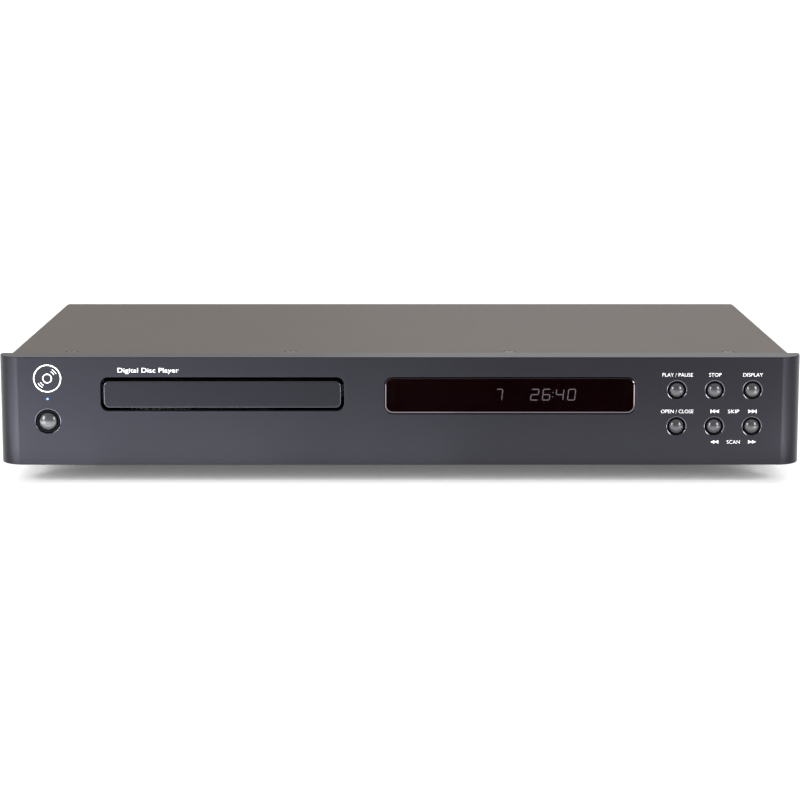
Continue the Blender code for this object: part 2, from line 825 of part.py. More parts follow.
def make_supply_board():
    """The power supply board with its smoothing capacitors, heat sink and choke."""
    top = FLOOR + 8 + BOARD
    board = box("supply_board", (106, -90, top - BOARD), (206, 35, top), CIRCUIT)
    for i, (x, y) in enumerate(((112, -84), (200, -84), (112, 29), (200, 29))):
        fuse(board, cylinder(f"supply_standoff_{i}", (x, y), 3, FLOOR + GAP, top - 1, sides=10))
    for i, x in enumerate((124, 143)):
        fuse(board, cylinder(f"capacitor_{i}", (x, 8), 8, top - 0.5, top + 26, sides=16))
    fuse(board, box("heat_sink_back", (160, -40, top - 0.5), (163, 10, top + 26)))
    for i in range(5):
        y = -40 + i * 11.5
        fuse(board, box(f"heat_sink_fin_{i}", (162.5, y, top + 2), (174, y + 2, top + 25.5)))
    return fuse(board, box("choke", (180, -70, top - 0.5), (198, -50, top + 16)))


def make_transformer():
    """A mains transformer: laminated core with the winding through its middle."""
    x0, x1, y0, y1 = 114, 166, 48, 92
    low = FLOOR + GAP
    core = box("transformer", (x0, y0 + 9, low), (x1, y1 - 9, low + 42), LAMINATION)
    winding = box("winding", (x0 + 9, y0, low + 8), (x1 - 9, y1, low + 34))
    round_edges(winding, 2.5, 2)
    return fuse(core, winding)


def make_leads_and_ribbons():
    """The flat cable between the boards, the one to the pickup, and the wire from the inlet to the supply."""
    low = FLOOR + 8 + BOARD + GAP
    front = back(BOARD_DEPTH + 4.4)
    path = [(front, 26.5), (front + 14, 26.5), (front + 22, 30.5), (-30, 30.5), (-20.6, low + 4)]
    folded("front_ribbon", path, 60, 80, 0.5, "X", RIBBON)
    path = [(-14.5, low + 3), (-18, low + 3), (-24, 18), (across(20), 18), (across(12), 30)]
    folded("pickup_ribbon", path, 42, 60, 0.5, "Y", RIBBON)
    curve = bpy.data.curves.new("inlet_wire", "CURVE")
    curve.dimensions = "3D"
    curve.bevel_depth = 2.0 * MM
    curve.bevel_resolution = 2
    curve.use_fill_caps = True
    spline = curve.splines.new("POLY")
    ends = ((MAINS_X, REAR_FACE - 18.4, MAINS_Z - 2), (MAINS_X - 3, 36, low + 3.2))
    steps = 14
    spline.points.add(steps)
    for i, point in enumerate(spline.points):
        t = i / steps
        ease = t * t * (3 - 2 * t)
        place = [a + (b - a) * (t if k == 1 else ease) for k, (a, b) in enumerate(zip(*ends))]
        place[2] -= 4 * math.sin(math.pi * t) ** 2
        point.co = (*[value * MM for value in place], 1.0)
    add("inlet_wire", curve, BLACK_PLASTIC)


# ---------------------------------------------------------------- loader and tray


def drive_gear_centre():
    return across(RACK_PITCH_U + RACK_MODULE * PINION_TEETH / 2), back(DRIVE_V)


def pulley_gear_centre():
    reach = REDUCTION_MODULE * (WHEEL_TEETH + PULLEY_PINION_TEETH) / 2
    x, y = drive_gear_centre()
    angle = math.radians(PULLEY_ANGLE)
    return x + reach * math.cos(angle), y + reach * math.sin(angle)


def make_tray():
    """The tray with its disc well, its open slot, its side tongues and the rack under its left side."""
    outline = rounded_rectangle((across(-TRAY_HALF), back(3.8)), (across(TRAY_HALF), back(TRAY_LENGTH)), 3, 3)
    tray = plate("tray", [outline], TRAY_BOTTOM, TRAY_TOP, material=GREY_PLASTIC)
    for side in (-1, 1):
        edges = sorted((across(side * (TRAY_HALF - 1)), across(side * TONGUE_HALF)))
        fuse(
            tray,
            box(
                f"tongue_{side}",
                (edges[0], back(22), TONGUE_LOW),
                (edges[1], back(TRAY_LENGTH - 4), TONGUE_HIGH),
            ),
        )
    gaps_before = round((DRIVE_V - RACK_START_V) / (math.pi * RACK_MODULE))
    first_gap = back(DRIVE_V) - gaps_before * math.pi * RACK_MODULE
    rack = rack_outline(across(RACK_PITCH_U), across(RACK_PITCH_U - 4), first_gap, RACK_TEETH, RACK_MODULE, 1)
    fuse(tray, plate("rack", [rack], 42.8, TRAY_BOTTOM + 0.5))
    centre = (SLOT_X, back(DISC_V))
    cut(tray, cylinder("disc_well", centre, WELL_RADIUS, WELL_FLOOR, 60, sides=64))
    cut(tray, cylinder("small_well", centre, SMALL_WELL_RADIUS, SMALL_WELL_FLOOR, 60, sides=48))
    nose = arc((SLOT_X, back(DISC_V - 2)), TRAY_SLOT_HALF, 180, 360, 12)
    rear = back(TRAY_LENGTH + 5)
    open_slot = [(across(TRAY_SLOT_HALF), rear), (across(-TRAY_SLOT_HALF), rear)] + nose
    return cut(tray, plate("pickup_slot", [open_slot], TRAY_BOTTOM - 6, 62))


def make_tray_front():
    half = FRONT_WIDTH / 2
    outline = rounded_rectangle((SLOT_X - half, FRONT_LOW), (SLOT_X + half, FRONT_HIGH), FRONT_RADIUS)
    front = plate("tray_front", [outline], back(0.1), back(3.5), "-Y", GRAPHITE)
    return round_edges(front, 0.4, 1)


def make_loader_frame():
    """The loader's frame: a deck on four legs, two grooved side walls, gear pins and hinge blocks."""
    deck_outline = rounded_rectangle((across(-70), back(LOADER_FRONT)), (across(70), back(LOADER_REAR)), 3, 2)
    opening = rounded_rectangle((across(-47.5), back(53)), (across(41), back(192)), 2, 2)
    gear_x, gear_y = drive_gear_centre()
    pulley_x, pulley_y = pulley_gear_centre()
    motor_hole = circle((across(MOTOR_U), back(MOTOR_V)), 3, 16)
    deck = plate("loader_frame", [deck_outline, opening, motor_hole], DECK_LOW, DECK_HIGH, material=BLACK_PLASTIC)
    for side in (-1, 1):
        wall = sorted((across(side * LOADER_WALL_IN), across(side * LOADER_WALL_OUT)))
        ledge = sorted((across(side * 63.9), across(side * (LOADER_WALL_IN + 0.5))))
        front, rear = back(LOADER_FRONT), back(LOADER_REAR)
        fuse(deck, box(f"loader_wall_{side}", (wall[0], front, DECK_LOW + 1), (wall[1], rear, LOADER_WALL_TOP)))
        for label, low, high in (("low", 45.4, TONGUE_LOW - GAP), ("high", TONGUE_HIGH + GAP, 52.4)):
            fuse(deck, box(f"ledge_{label}_{side}", (ledge[0], front, low), (ledge[1], rear, high)))
        for label, v in (("front", 28), ("rear", 198)):
            leg = cylinder(f"leg_{label}_{side}", (across(side * 62), back(v)), 4, FLOOR + GAP, DECK_LOW + 1, sides=12)
            fuse(deck, leg)
    fuse(
        deck,
        cylinder("drive_pin", (gear_x, gear_y), 1.5, DECK_HIGH - 1, 46.6, sides=12),
        cylinder("pulley_pin", (pulley_x, pulley_y), 1.5, DECK_HIGH - 1, 41.0, sides=12),
    )
    for label, low, high in (("left", -52, -48.2), ("right", 41.7, 45.5)):
        fuse(
            deck,
            box(
                f"hinge_block_{label}",
                (across(low), back(HINGE_V - 5), DECK_HIGH - 1),
                (across(high), back(HINGE_V + 5), HINGE_Z + 5),
            ),
        )
    bore = cylinder("hinge_bore", (back(HINGE_V), HINGE_Z), 2.5, across(-60), across(55), "X", 16)
    return cut(deck, bore)


def make_clamp_bridge():
    """The steel bridge over the tray that holds the clamper."""
    half = LOADER_WALL_OUT - 0.6
    profile = [
        (across(-half), LOADER_WALL_TOP + GAP),
        (across(-half), 60.2),
        (across(half), 60.2),
        (across(half), LOADER_WALL_TOP + GAP),
    ]
    bridge = folded("clamp_bridge", profile, back(58), back(98), 1.2, "Y", ZINC)
    return cut(bridge, cylinder("clamper_hole", (SLOT_X, back(DISC_V)), 13, 55, 65, sides=32))


def make_clamper():
    """The clamper: its waist hangs in the bridge's hole between a flange and the pad."""
    profile = [(0, 63), (17, 63), (17, 61.4), (12, 61.4), (12, 59), (16, 59), (16, 57.6), (0, 57.6)]
    return turned("clamper", profile, (SLOT_X, back(DISC_V), 0), steps=28, material=WHITE_PLASTIC)


def make_drive_gear():
    """The tray's driving gear: a small pinion on the rack over a large wheel."""
    centre = drive_gear_centre()
    wheel = gear_outline(centre, WHEEL_TEETH, REDUCTION_MODULE, PULLEY_ANGLE)
    gear = plate("drive_gear", [wheel], 36.6, 39.0, material=WHITE_PLASTIC)
    pinion = gear_outline(centre, PINION_TEETH, RACK_MODULE, 180)
    fuse(gear, plate("drive_pinion", [pinion], 38.6, 46.4))
    fuse(gear, cylinder("drive_hub", centre, 3.2, DECK_HIGH + GAP, 37, sides=16))
    return cut(gear, cylinder("drive_bore", centre, 1.85, 25, 50, sides=16))


def make_pulley_gear():
    """The belt's large pulley with the pinion that turns the driving gear."""
    x, y = pulley_gear_centre()
    base = DECK_HIGH + GAP
    groove = BELT_WHEEL_RADIUS - BELT_SIZE / 2 - GAP
    profile = [
        (4.0, 35.6),
        (groove + 1.6, 35.6),
        (groove + 1.6, 34.7),
        (groove, 34.3),
        (groove, 32.7),
        (groove + 1.6, 32.3),
        (groove + 1.6, base),
        (1.85, base),
        (1.85, 40.4),
        (3.2, 40.4),
        (3.2, 35.9),
        (4.0, 35.9),
    ]
    gear = turned("pulley_gear", profile, (x, y, 0), material=WHITE_PLASTIC, steps=32, closed=True)
    gap_angle = PULLEY_ANGLE + 180 + 180 / PULLEY_PINION_TEETH
    outline = gear_outline((x, y), PULLEY_PINION_TEETH, REDUCTION_MODULE, gap_angle)
    return fuse(gear, plate("pulley_pinion", [outline, circle((x, y), 2.4, 16)], 35.2, 39.4))


def make_loading_motor():
    """A small round motor with two flats, under the deck."""
    x, y = across(MOTOR_U), back(MOTOR_V)
    top = DECK_LOW - GAP
    side = math.degrees(math.asin(9.5 / 12))
    outline = arc((x, y), 12, -side, side, 6) + arc((x, y), 12, 180 - side, 180 + side, 6)
    motor = plate("loading_motor", [outline], top - 15, top, material=ZINC)
    return motor


def make_motor_pulley():
    groove = BELT_MOTOR_RADIUS - BELT_SIZE / 2 - GAP
    profile = [
        (0, 35.8),
        (groove + 1.6, 35.8),
        (groove + 1.6, 34.7),
        (groove, 34.3),
        (groove, 32.7),
        (groove + 1.6, 32.3),
        (groove + 1.6, DECK_HIGH + GAP),
        (1.0, DECK_HIGH + GAP),
        (1.0, DECK_LOW),
        (0, DECK_LOW),
    ]
    origin = (across(MOTOR_U), back(MOTOR_V), 0)
    return turned("motor_pulley", profile, origin, steps=16, material=WHITE_PLASTIC)


def belt_loop(offset):
    """The belt's path round both pulleys, moved outwards by offset."""
    (x1, y1), (x2, y2) = pulley_gear_centre(), (across(MOTOR_U), back(MOTOR_V))
    reach = math.hypot(x2 - x1, y2 - y1)
    heading = math.degrees(math.atan2(y2 - y1, x2 - x1))
    open_angle = math.degrees(math.acos((BELT_WHEEL_RADIUS - BELT_MOTOR_RADIUS) / reach))
    large = arc((x1, y1), BELT_WHEEL_RADIUS + offset, heading + open_angle, heading + 360 - open_angle, 22)
    small = arc((x2, y2), BELT_MOTOR_RADIUS + offset, heading - open_angle, heading + open_angle, 8)
    return large + small


def make_belt():
    half = BELT_SIZE / 2
    loops = [belt_loop(half), belt_loop(-half)]
    return plate("drive_belt", loops, BELT_Z - half, BELT_Z + half, material=RUBBER)


# ---------------------------------------------------------------- traverse


def cam_drop():
    """How far the traverse's front pin is lowered at rest."""
    return (HINGE_V - TRAVERSE_FRONT + 3) * math.sin(math.radians(TRAVERSE_TILT))


def make_cam_slider():
    """The slider whose sloping slot lifts the traverse's pin as it moves to the right."""
    front = back(CAM_PLATE_V)
    high_z, low_z = HINGE_Z, HINGE_Z - cam_drop()
    rear = front + CAM_PLATE
    half = CAM_PIN_RADIUS + 0.55
    x_low, x_high = across(CAM_PIN_U), across(CAM_PIN_U - CAM_TRAVEL)
    slope = math.degrees(math.atan2(high_z - low_z, x_high - x_low))
    low_end = arc((x_low, low_z), half, slope + 90, slope + 270, 6)
    high_end = arc((x_high, high_z), half, slope - 90, slope + 90, 6)
    slider = box("cam_slider", (across(-36), front, 20.5), (across(20), rear, 41), WHITE_PLASTIC)
    foot = box(
        "cam_foot", (across(-36), back(47.5), DECK_HIGH + GAP), (across(20), front + 0.5, DECK_HIGH + 2)
    )
    slot = plate("cam_slot", [low_end + high_end], front - 1.4, rear + 1, "-Y")
    return cut(fuse(slider, foot), slot)


def make_traverse_frame():
    """The sub-frame: a plate with the pickup's opening, rod holders, the hinge and the cam pin."""
    opening = rounded_rectangle((across(-18.5), back(91)), (across(18.5), back(171)), 2, 2)
    outline = rounded_rectangle(
        (across(TRAVERSE_LEFT), back(TRAVERSE_FRONT)), (across(TRAVERSE_RIGHT), back(HINGE_V)), 2, 2
    )
    motor_place = (across(SLED_RACK_U - 4.8), back(SLED_GEAR_V + 10))
    frame = plate(
        "traverse_frame",
        [outline, opening, circle(motor_place, 2.0, 12)],
        TRAVERSE_LOW,
        TRAVERSE_HIGH,
        material=GREY_PLASTIC,
    )
    for side in (-1, 1):
        for label, low in (("front", ROD_FRONT), ("rear", ROD_REAR - 3)):
            x = across(side * ROD_U)
            holder = box(
                f"rod_holder_{label}_{side}",
                (x - 3, back(low), TRAVERSE_HIGH - 1),
                (x + 3, back(low + 3), ROD_Z + 2.6),
            )
            fuse(frame, holder)
    barrel = cylinder(
        "hinge_barrel", (back(HINGE_V), HINGE_Z), 2.6, across(TRAVERSE_LEFT), across(TRAVERSE_RIGHT), "X", 16
    )
    pins = cylinder("hinge_pins", (back(HINGE_V), HINGE_Z), 2.0, across(-51), across(44.5), "X", 16)
    cam_pin = cylinder(
        "cam_pin",
        (across(CAM_PIN_U), HINGE_Z),
        CAM_PIN_RADIUS,
        back(CAM_PLATE_V - 0.8),
        back(TRAVERSE_FRONT + 1),
        "-Y",
        12,
    )
    gear_pin = cylinder(
        "sled_gear_pin",
        (across(SLED_RACK_U - 4.8), back(SLED_GEAR_V)),
        1.0,
        TRAVERSE_HIGH - 1,
        42.4,
        sides=10,
    )
    fuse(frame, barrel, pins, cam_pin, gear_pin)
    for side in (-1, 1):
        x = across(side * ROD_U)
        bore = cylinder(f"rod_bore_{side}", (x, ROD_Z), ROD_RADIUS + 0.35, back(80), back(180), "-Y", 12)
        cut(frame, bore)
    return frame


def make_spindle():
    """The disc motor on the traverse and the turntable on its shaft."""
    centre = (SLOT_X, back(DISC_V))
    motor = cylinder(
        "spindle_motor", centre, 12.5, TRAVERSE_HIGH + GAP, TURNTABLE_TOP - 7.5, material=ZINC, sides=28
    )
    top = TURNTABLE_TOP
    profile = [
        (0, top + 2.2),
        (5.5, top + 2.2),
        (7.4, top),
        (15, top),
        (15, top - 2.2),
        (6, top - 2.2),
        (6, top - 7.0),
        (0, top - 7.0),
    ]
    table = turned("turntable", profile, (*centre, 0), steps=28, material=BLACK_PLASTIC)
    return motor, table


def make_guide_rods():
    rods = []
    for label, side in (("left", -1), ("right", 1)):
        rod = cylinder(
            f"guide_rod_{label}",
            (across(side * ROD_U), ROD_Z),
            ROD_RADIUS,
            back(ROD_FRONT - 0.5),
            back(ROD_REAR + 0.5),
            "-Y",
            12,
            CHROME,
        )
        rods.append(rod)
    return rods


def make_sled():
    """The pickup sled: a body between the rods, a bearing on each rod and a rack on its left side."""
    sled = box("pickup_sled", (across(-17), back(SLED_FRONT), 37), (across(17), back(SLED_REAR), 46.5), ZINC)
    round_edges(sled, 1.0, 1)
    for side in (-1, 1):
        x = across(side * ROD_U)
        for label, v in (("front", SLED_FRONT + 1), ("rear", SLED_REAR - 9)):
            inner = sorted((across(side * 16), across(side * 24)))
            low, high = (inner[0], back(v), 37.4), (inner[1], back(v + 8), 42.8)
            fuse(sled, box(f"bearing_{label}_{side}", low, high))
    pitch = math.pi * SLED_MODULE
    first_gap = back(SLED_GEAR_V) - 14 * pitch
    rack = rack_outline(
        across(SLED_RACK_U), across(SLED_RACK_U + 4.4), first_gap, SLED_RACK_TEETH, SLED_MODULE, -1
    )
    fuse(sled, plate("sled_rack", [rack], 38.7, 41.6))
    for side in (-1, 1):
        x = across(side * ROD_U)
        cut(sled, cylinder(f"sled_bore_{side}", (x, ROD_Z), ROD_RADIUS + 0.4, back(80), back(180), "-Y", 12))
    seat = box("lens_seat", (across(-6), back(LENS_V - 5.5), 44.5), (across(6), back(LENS_V + 5.5), 50))
    cut(sled, seat)
    return sled


def make_lens():
    """The objective lens on its holder, floating in the sled's seat."""
    low, high = 45.2, 50.6
    holder = box(
        "pickup_lens", (across(-5), back(LENS_V - 4.5), low), (across(5), back(LENS_V + 4.5), high), BLACK_PLASTIC
    )
    round_edges(holder, 0.8, 1)
    return fuse(holder, cylinder("lens_rim", (SLOT_X, back(LENS_V)), 2.2, high - 1, high + 1.2, sides=20))


def make_sled_drive():
    """The sled's gear, its motor under the traverse and the motor's pinion."""
    x, y = across(SLED_RACK_U - SLED_MODULE * SLED_PINION_TEETH / 2), back(SLED_GEAR_V)
    reach = SLED_WHEEL_MODULE * (SLED_WHEEL_TEETH + SLED_MOTOR_TEETH) / 2
    wheel = gear_outline((x, y), SLED_WHEEL_TEETH, SLED_WHEEL_MODULE, 90)
    gear = plate("sled_gear", [wheel, circle((x, y), 1.3, 12)], TRAVERSE_HIGH + GAP, 38.0, material=WHITE_PLASTIC)
    pinion = gear_outline((x, y), SLED_PINION_TEETH, SLED_MODULE, 0)
    fuse(gear, plate("sled_pinion", [pinion, circle((x, y), 1.3, 12)], 37.6, 42.0))
    motor = cylinder(
        "sled_motor", (x, y + reach), 7.5, TRAVERSE_LOW - GAP - 12, TRAVERSE_LOW - GAP, sides=24, material=ZINC
    )
    outline = gear_outline((x, y + reach), SLED_MOTOR_TEETH, SLED_WHEEL_MODULE, 270 + 180 / SLED_MOTOR_TEETH)
    motor_pinion = plate(
        "sled_motor_pinion", [outline], TRAVERSE_HIGH + GAP, 38.6, material=WHITE_PLASTIC
    )
    shaft = cylinder("sled_motor_shaft", (x, y + reach), 0.8, TRAVERSE_LOW, 36.5, sides=10)
    fuse(motor_pinion, shaft)
    return gear, motor, motor_pinion


def hang(obj, pivot):
    """Parents a piece and the shapes that its modifiers use to the pivot, without moving them."""
    obj.parent = pivot
    obj.matrix_parent_inverse = Matrix.Translation(-pivot.location)
    for modifier in obj.modifiers:
        if modifier.type == "BOOLEAN":
            hang(modifier.object, pivot)


def make_traverse():
    """Builds the traverse level, as it is when it plays, and then lowers its front end."""
    pieces = [make_traverse_frame(), make_sled(), make_lens()]
    pieces += [*make_spindle(), *make_guide_rods(), *make_sled_drive()]
    pivot = bpy.data.objects.new("traverse_pivot", None)
    PARTS.objects.link(pivot)
    pivot.location = Vector((SLOT_X, back(HINGE_V), HINGE_Z)) * MM
    for piece in pieces:
        hang(piece, pivot)
    pivot.rotation_euler.x = math.radians(TRAVERSE_TILT)


def make_case():
    make_front_panel()
    make_top_cover()
    for i in range(4):
        make_cover_screw(i)
    make_bottom_chassis()
    make_front_plate()
    make_rear_panel()
    make_feet()


def make_electronics():
    make_jack("line_out_left", JACK_X, JACK_HIGH_Z, WHITE_PLASTIC)
    make_jack("line_out_right", JACK_X, JACK_LOW_Z, WHITE_PLASTIC)
    make_jack("coaxial_out", COAXIAL_X, JACK_LOW_Z, WHITE_PLASTIC)
    make_optical_socket()
    make_mains_inlet()
    make_main_board()
    make_supply_board()
    make_transformer()
    make_leads_and_ribbons()


def make_loader():
    make_tray()
    make_tray_front()
    make_loader_frame()
    make_clamp_bridge()
    make_clamper()
    make_drive_gear()
    make_pulley_gear()
    make_loading_motor()
    make_motor_pulley()
    make_belt()
    make_cam_slider()


make_case()
make_controls()
make_electronics()
make_loader()
make_traverse()
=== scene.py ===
"""The looks of the disc player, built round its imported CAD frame. Shapes are worked out in millimetres
and made in metres, in the frame's own axes: +X right, +Y back, +Z up."""

import math

import bmesh
import bpy
from mathutils import Matrix, Vector


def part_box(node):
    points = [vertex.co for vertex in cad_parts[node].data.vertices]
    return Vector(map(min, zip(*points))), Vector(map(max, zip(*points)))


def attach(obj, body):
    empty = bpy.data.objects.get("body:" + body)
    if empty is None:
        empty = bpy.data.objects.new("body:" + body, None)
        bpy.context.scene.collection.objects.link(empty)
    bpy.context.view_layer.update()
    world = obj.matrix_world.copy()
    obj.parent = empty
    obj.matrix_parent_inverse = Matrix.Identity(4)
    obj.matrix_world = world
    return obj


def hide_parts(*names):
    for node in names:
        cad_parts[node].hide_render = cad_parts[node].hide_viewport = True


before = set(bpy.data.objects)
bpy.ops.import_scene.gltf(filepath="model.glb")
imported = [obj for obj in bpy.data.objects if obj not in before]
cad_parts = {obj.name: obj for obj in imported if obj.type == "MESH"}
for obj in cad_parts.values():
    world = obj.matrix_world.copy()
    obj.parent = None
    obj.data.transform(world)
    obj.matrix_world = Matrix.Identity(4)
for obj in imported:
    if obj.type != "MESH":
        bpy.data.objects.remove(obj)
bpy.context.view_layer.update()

MM = 0.001
SCENE = bpy.context.scene
BUTTONS = (
    "play_button",
    "stop_button",
    "display_button",
    "open_close_button",
    "skip_back_button",
    "skip_forward_button",
)
FEET = ("foot_front_left", "foot_front_right", "foot_rear_left", "foot_rear_right")
COVER_SCREWS = [f"cover_screw_{i + 1}" for i in range(4)]


def box(node):
    """A CAD node's lowest and highest corners, in millimetres."""
    low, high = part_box(node)
    return Vector(low) / MM, Vector(high) / MM


def middle(node):
    low, high = box(node)
    return (low + high) / 2


PANEL_LOW, PANEL_HIGH = box("front_panel")
FACE = PANEL_LOW.y
COVER_LOW, COVER_HIGH = box("top_cover")
REAR = COVER_HIGH.y
# How far the cutters of the panel reach in, and the clearance round the lens.
CUT_DEPTH = 12.0
WINDOW_GAP = 0.4
# How far the lit digits lean.
LEAN = math.tan(math.radians(6))


# ---------------------------------------------------------------- materials


class Nodes:
    """Builds a material's node tree a step at a time."""

    def __init__(self, name):
        self.material = bpy.data.materials.new(name)
        self.material.use_nodes = True
        self.tree = self.material.node_tree
        self.shader = self.tree.nodes["Principled BSDF"]
        self.place = self.add("ShaderNodeTexCoord").outputs["Object"]

    def add(self, kind, **values):
        node = self.tree.nodes.new(kind)
        for key, value in values.items():
            setattr(node, key, value)
        return node

    def link(self, start, end):
        self.tree.links.new(start, end)

    def noise(self, scale, detail=2.0, stretch=(1, 1, 1)):
        mapping = self.add("ShaderNodeMapping")
        mapping.inputs["Scale"].default_value = stretch
        self.link(self.place, mapping.inputs["Vector"])
        noise = self.add("ShaderNodeTexNoise")
        noise.inputs["Scale"].default_value = scale
        noise.inputs["Detail"].default_value = detail
        self.link(mapping.outputs["Vector"], noise.inputs["Vector"])
        return noise.outputs["Fac"]

    def ramp(self, value, low, high):
        """Maps 0.3 to 0.7 of a noise onto low to high."""
        node = self.add("ShaderNodeMapRange")
        node.inputs["From Min"].default_value = 0.3
        node.inputs["From Max"].default_value = 0.7
        node.inputs["To Min"].default_value = low
        node.inputs["To Max"].default_value = high
        self.link(value, node.inputs["Value"])
        return node.outputs["Result"]

    def mix(self, factor, first, second):
        node = self.add("ShaderNodeMix", data_type="RGBA")
        node.inputs["A"].default_value = (*first, 1)
        node.inputs["B"].default_value = (*second, 1)
        self.link(factor, node.inputs["Factor"])
        return node.outputs["Result"]

    def bump(self, height, distance, strength=1.0):
        node = self.add("ShaderNodeBump")
        node.inputs["Strength"].default_value = strength
        node.inputs["Distance"].default_value = distance * MM
        self.link(height, node.inputs["Height"])
        self.link(node.outputs["Normal"], self.shader.inputs["Normal"])

    def paint(self, share, first, second):
        """Mixes the base colour from two colours."""
        self.link(self.mix(share, first, second), self.shader.inputs["Base Color"])

    def roughen(self, value, low, high):
        self.link(self.ramp(value, low, high), self.shader.inputs["Roughness"])

    def give(self, **values):
        """Sets the shader's inputs. A name has _ where the input's has a space."""
        for key, value in values.items():
            self.shader.inputs[key.replace("_", " ")].default_value = value


def surface(
    name,
    colour,
    roughness,
    metallic=0.0,
    specular=0.5,
    grain=900.0,
    relief=0.01,
    change=0.06,
    spread=0.05,
    stretch=(1, 1, 1),
    mottle=35.0,
):
    """A finish with fine grain in its relief and roughness and a slow drift in its colour."""
    n = Nodes(name)
    dark = [c * (1 - change) for c in colour]
    light = [c * (1 + change) for c in colour]
    n.paint(n.ramp(n.noise(mottle, 3), 0, 1), dark, light)
    fine = n.noise(grain, 3, stretch)
    n.roughen(fine, roughness - spread, roughness + spread)
    n.bump(fine, relief)
    n.give(Metallic=metallic, Specular_IOR_Level=specular)
    n.material.diffuse_color = (*colour, 1)
    return n.material


PAINT = {"grain": 2600, "relief": 0.004, "change": 0.025}
GRAPHITE = surface("graphite_paint", (0.0128, 0.0125, 0.0160), 0.34, 0.7, 0.15, **PAINT)
TRAY_PAINT = surface("tray_front_paint", (0.0100, 0.0098, 0.0125), 0.34, 0.7, 0.1, **PAINT)
EDGE_COLOUR = (0.060, 0.061, 0.070)
GRAPHITE_EDGE = surface("polished_edge", EDGE_COLOUR, 0.13, 0.8, grain=2600, relief=0.002, change=0.025)
COVER_COLOUR = (0.066, 0.0525, 0.0435)
COVER = surface("cover_paint", COVER_COLOUR, 0.48, 0.12, 0.15, grain=2200, relief=0.008, change=0.03)
ZINC = surface("zinc_steel", (0.55, 0.56, 0.57), 0.38, 1.0, grain=700, change=0.12, mottle=160)
STEEL_CHASSIS = surface("black_chassis_steel", (0.05, 0.05, 0.052), 0.5, 0.3, grain=1500)
NICKEL = surface("nickel", (0.66, 0.64, 0.6), 0.22, 1.0, grain=1200, relief=0.003, change=0.04)
CHROME = surface("bright_steel", (0.75, 0.76, 0.78), 0.14, 1.0, relief=0.002, change=0.02)
DARK_STEEL = surface("dark_screw_steel", (0.10, 0.10, 0.105), 0.32, 0.9, grain=1600, relief=0.004)
BLACK = surface("black_plastic", (0.016, 0.016, 0.018), 0.5, grain=1800, relief=0.012)
# Black plastic of the button guides, made darker and duller than the other black plastic so that it also
# stands in as painted shade deep in the button recesses.
BLACK_WITH_RECESS_SHADE = surface("matt_black_painted_recess_shade", (0.0025, 0.0025, 0.003), 0.75, specular=0.04, grain=1800)
BUTTON = surface(
    "button_plastic",
    (0.032, 0.032, 0.035),
    0.22,
    0.3,
    specular=0.35,
    grain=1500,
    relief=0.002,
    change=0.03,
    spread=0.03,
)
GREY = surface("grey_plastic", (0.13, 0.13, 0.135), 0.5, grain=1400, relief=0.012)
TRAY_BLACK = surface("tray_plastic", (0.035, 0.035, 0.038), 0.46, grain=2400, relief=0.015)
WHITE = surface("white_plastic", (0.72, 0.71, 0.67), 0.42, grain=1100, change=0.03)
RED = surface("red_plastic", (0.5, 0.03, 0.03), 0.35, grain=1100)
ORANGE = surface("orange_plastic", (0.75, 0.25, 0.03), 0.35, grain=1100)
INK = surface("white_ink", (0.54, 0.54, 0.54), 0.55, grain=3000, relief=0.002, change=0.02)
RUBBER = surface("rubber", (0.012, 0.012, 0.012), 0.78, grain=1300, relief=0.02, spread=0.08)
RIBBON = surface("flat_cable", (0.72, 0.72, 0.68), 0.45, grain=400, stretch=(6, 1, 1), change=0.05)
LAMINATION = surface("lamination", (0.2, 0.2, 0.21), 0.45, 0.9, grain=900, stretch=(1, 12, 1), relief=0.05)
WIRE = surface("wire_sleeve", (0.02, 0.02, 0.02), 0.42, grain=900)


def circuit_board():
    """Solder mask with a pattern of tracks under it."""
    n = Nodes("circuit_board")
    tracks = n.add("ShaderNodeTexBrick")
    tracks.inputs["Scale"].default_value = 90.0
    tracks.inputs["Mortar Size"].default_value = 0.06
    tracks.inputs["Color1"].default_value = (0.03, 0.11, 0.045, 1)
    tracks.inputs["Color2"].default_value = (0.02, 0.08, 0.035, 1)
    tracks.inputs["Mortar"].default_value = (0.05, 0.2, 0.08, 1)
    n.link(n.place, tracks.inputs["Vector"])
    n.link(tracks.outputs["Color"], n.shader.inputs["Base Color"])
    fine = n.noise(900, 2)
    n.roughen(fine, 0.28, 0.42)
    n.bump(tracks.outputs["Fac"], 0.02)
    return n.material


def smoked_lens():
    """Dark acrylic that lets a little of what lies behind it through."""
    n = Nodes("smoked_lens")
    n.paint(n.ramp(n.noise(20, 2), 0, 1), (0.0012, 0.0001, 0.0002), (0.0015, 0.0002, 0.0003))
    n.roughen(n.noise(300, 2), 0.05, 0.08)
    n.give(Alpha=0.72, Specular_IOR_Level=0.006)
    return n.material


def glow(name, colour, strength, base=(0.02, 0.02, 0.02)):
    """A finish that gives light."""
    n = Nodes(name)
    n.paint(n.noise(500, 1), base, [c * 1.2 for c in base])
    n.roughen(n.noise(800, 1), 0.25, 0.35)
    n.give(Emission_Color=(*colour, 1), Emission_Strength=strength)
    return n.material


BOARD = circuit_board()
LENS = smoked_lens()
DIGIT = glow("lit_segment", (0.62, 0.56, 0.64), 4.2)
LAMP = glow("blue_lamp", (0.22, 0.38, 1.0), 1.3, (0.1, 0.18, 0.5))
BEVEL = surface("acrylic_edge", (0.055, 0.046, 0.05), 0.12, 0.9, grain=900, relief=0.001)
GLASS = surface("tube_glass", (0.006, 0.004, 0.005), 0.12, specular=0.1, grain=500, relief=0.001)


# ---------------------------------------------------------------- shapes


def arc(centre, radius, start, end, steps):
    cx, cy = centre
    angles = [math.radians(start + (end - start) * i / steps) for i in range(steps + 1)]
    return [(cx + radius * math.cos(a), cy + radius * math.sin(a)) for a in angles]


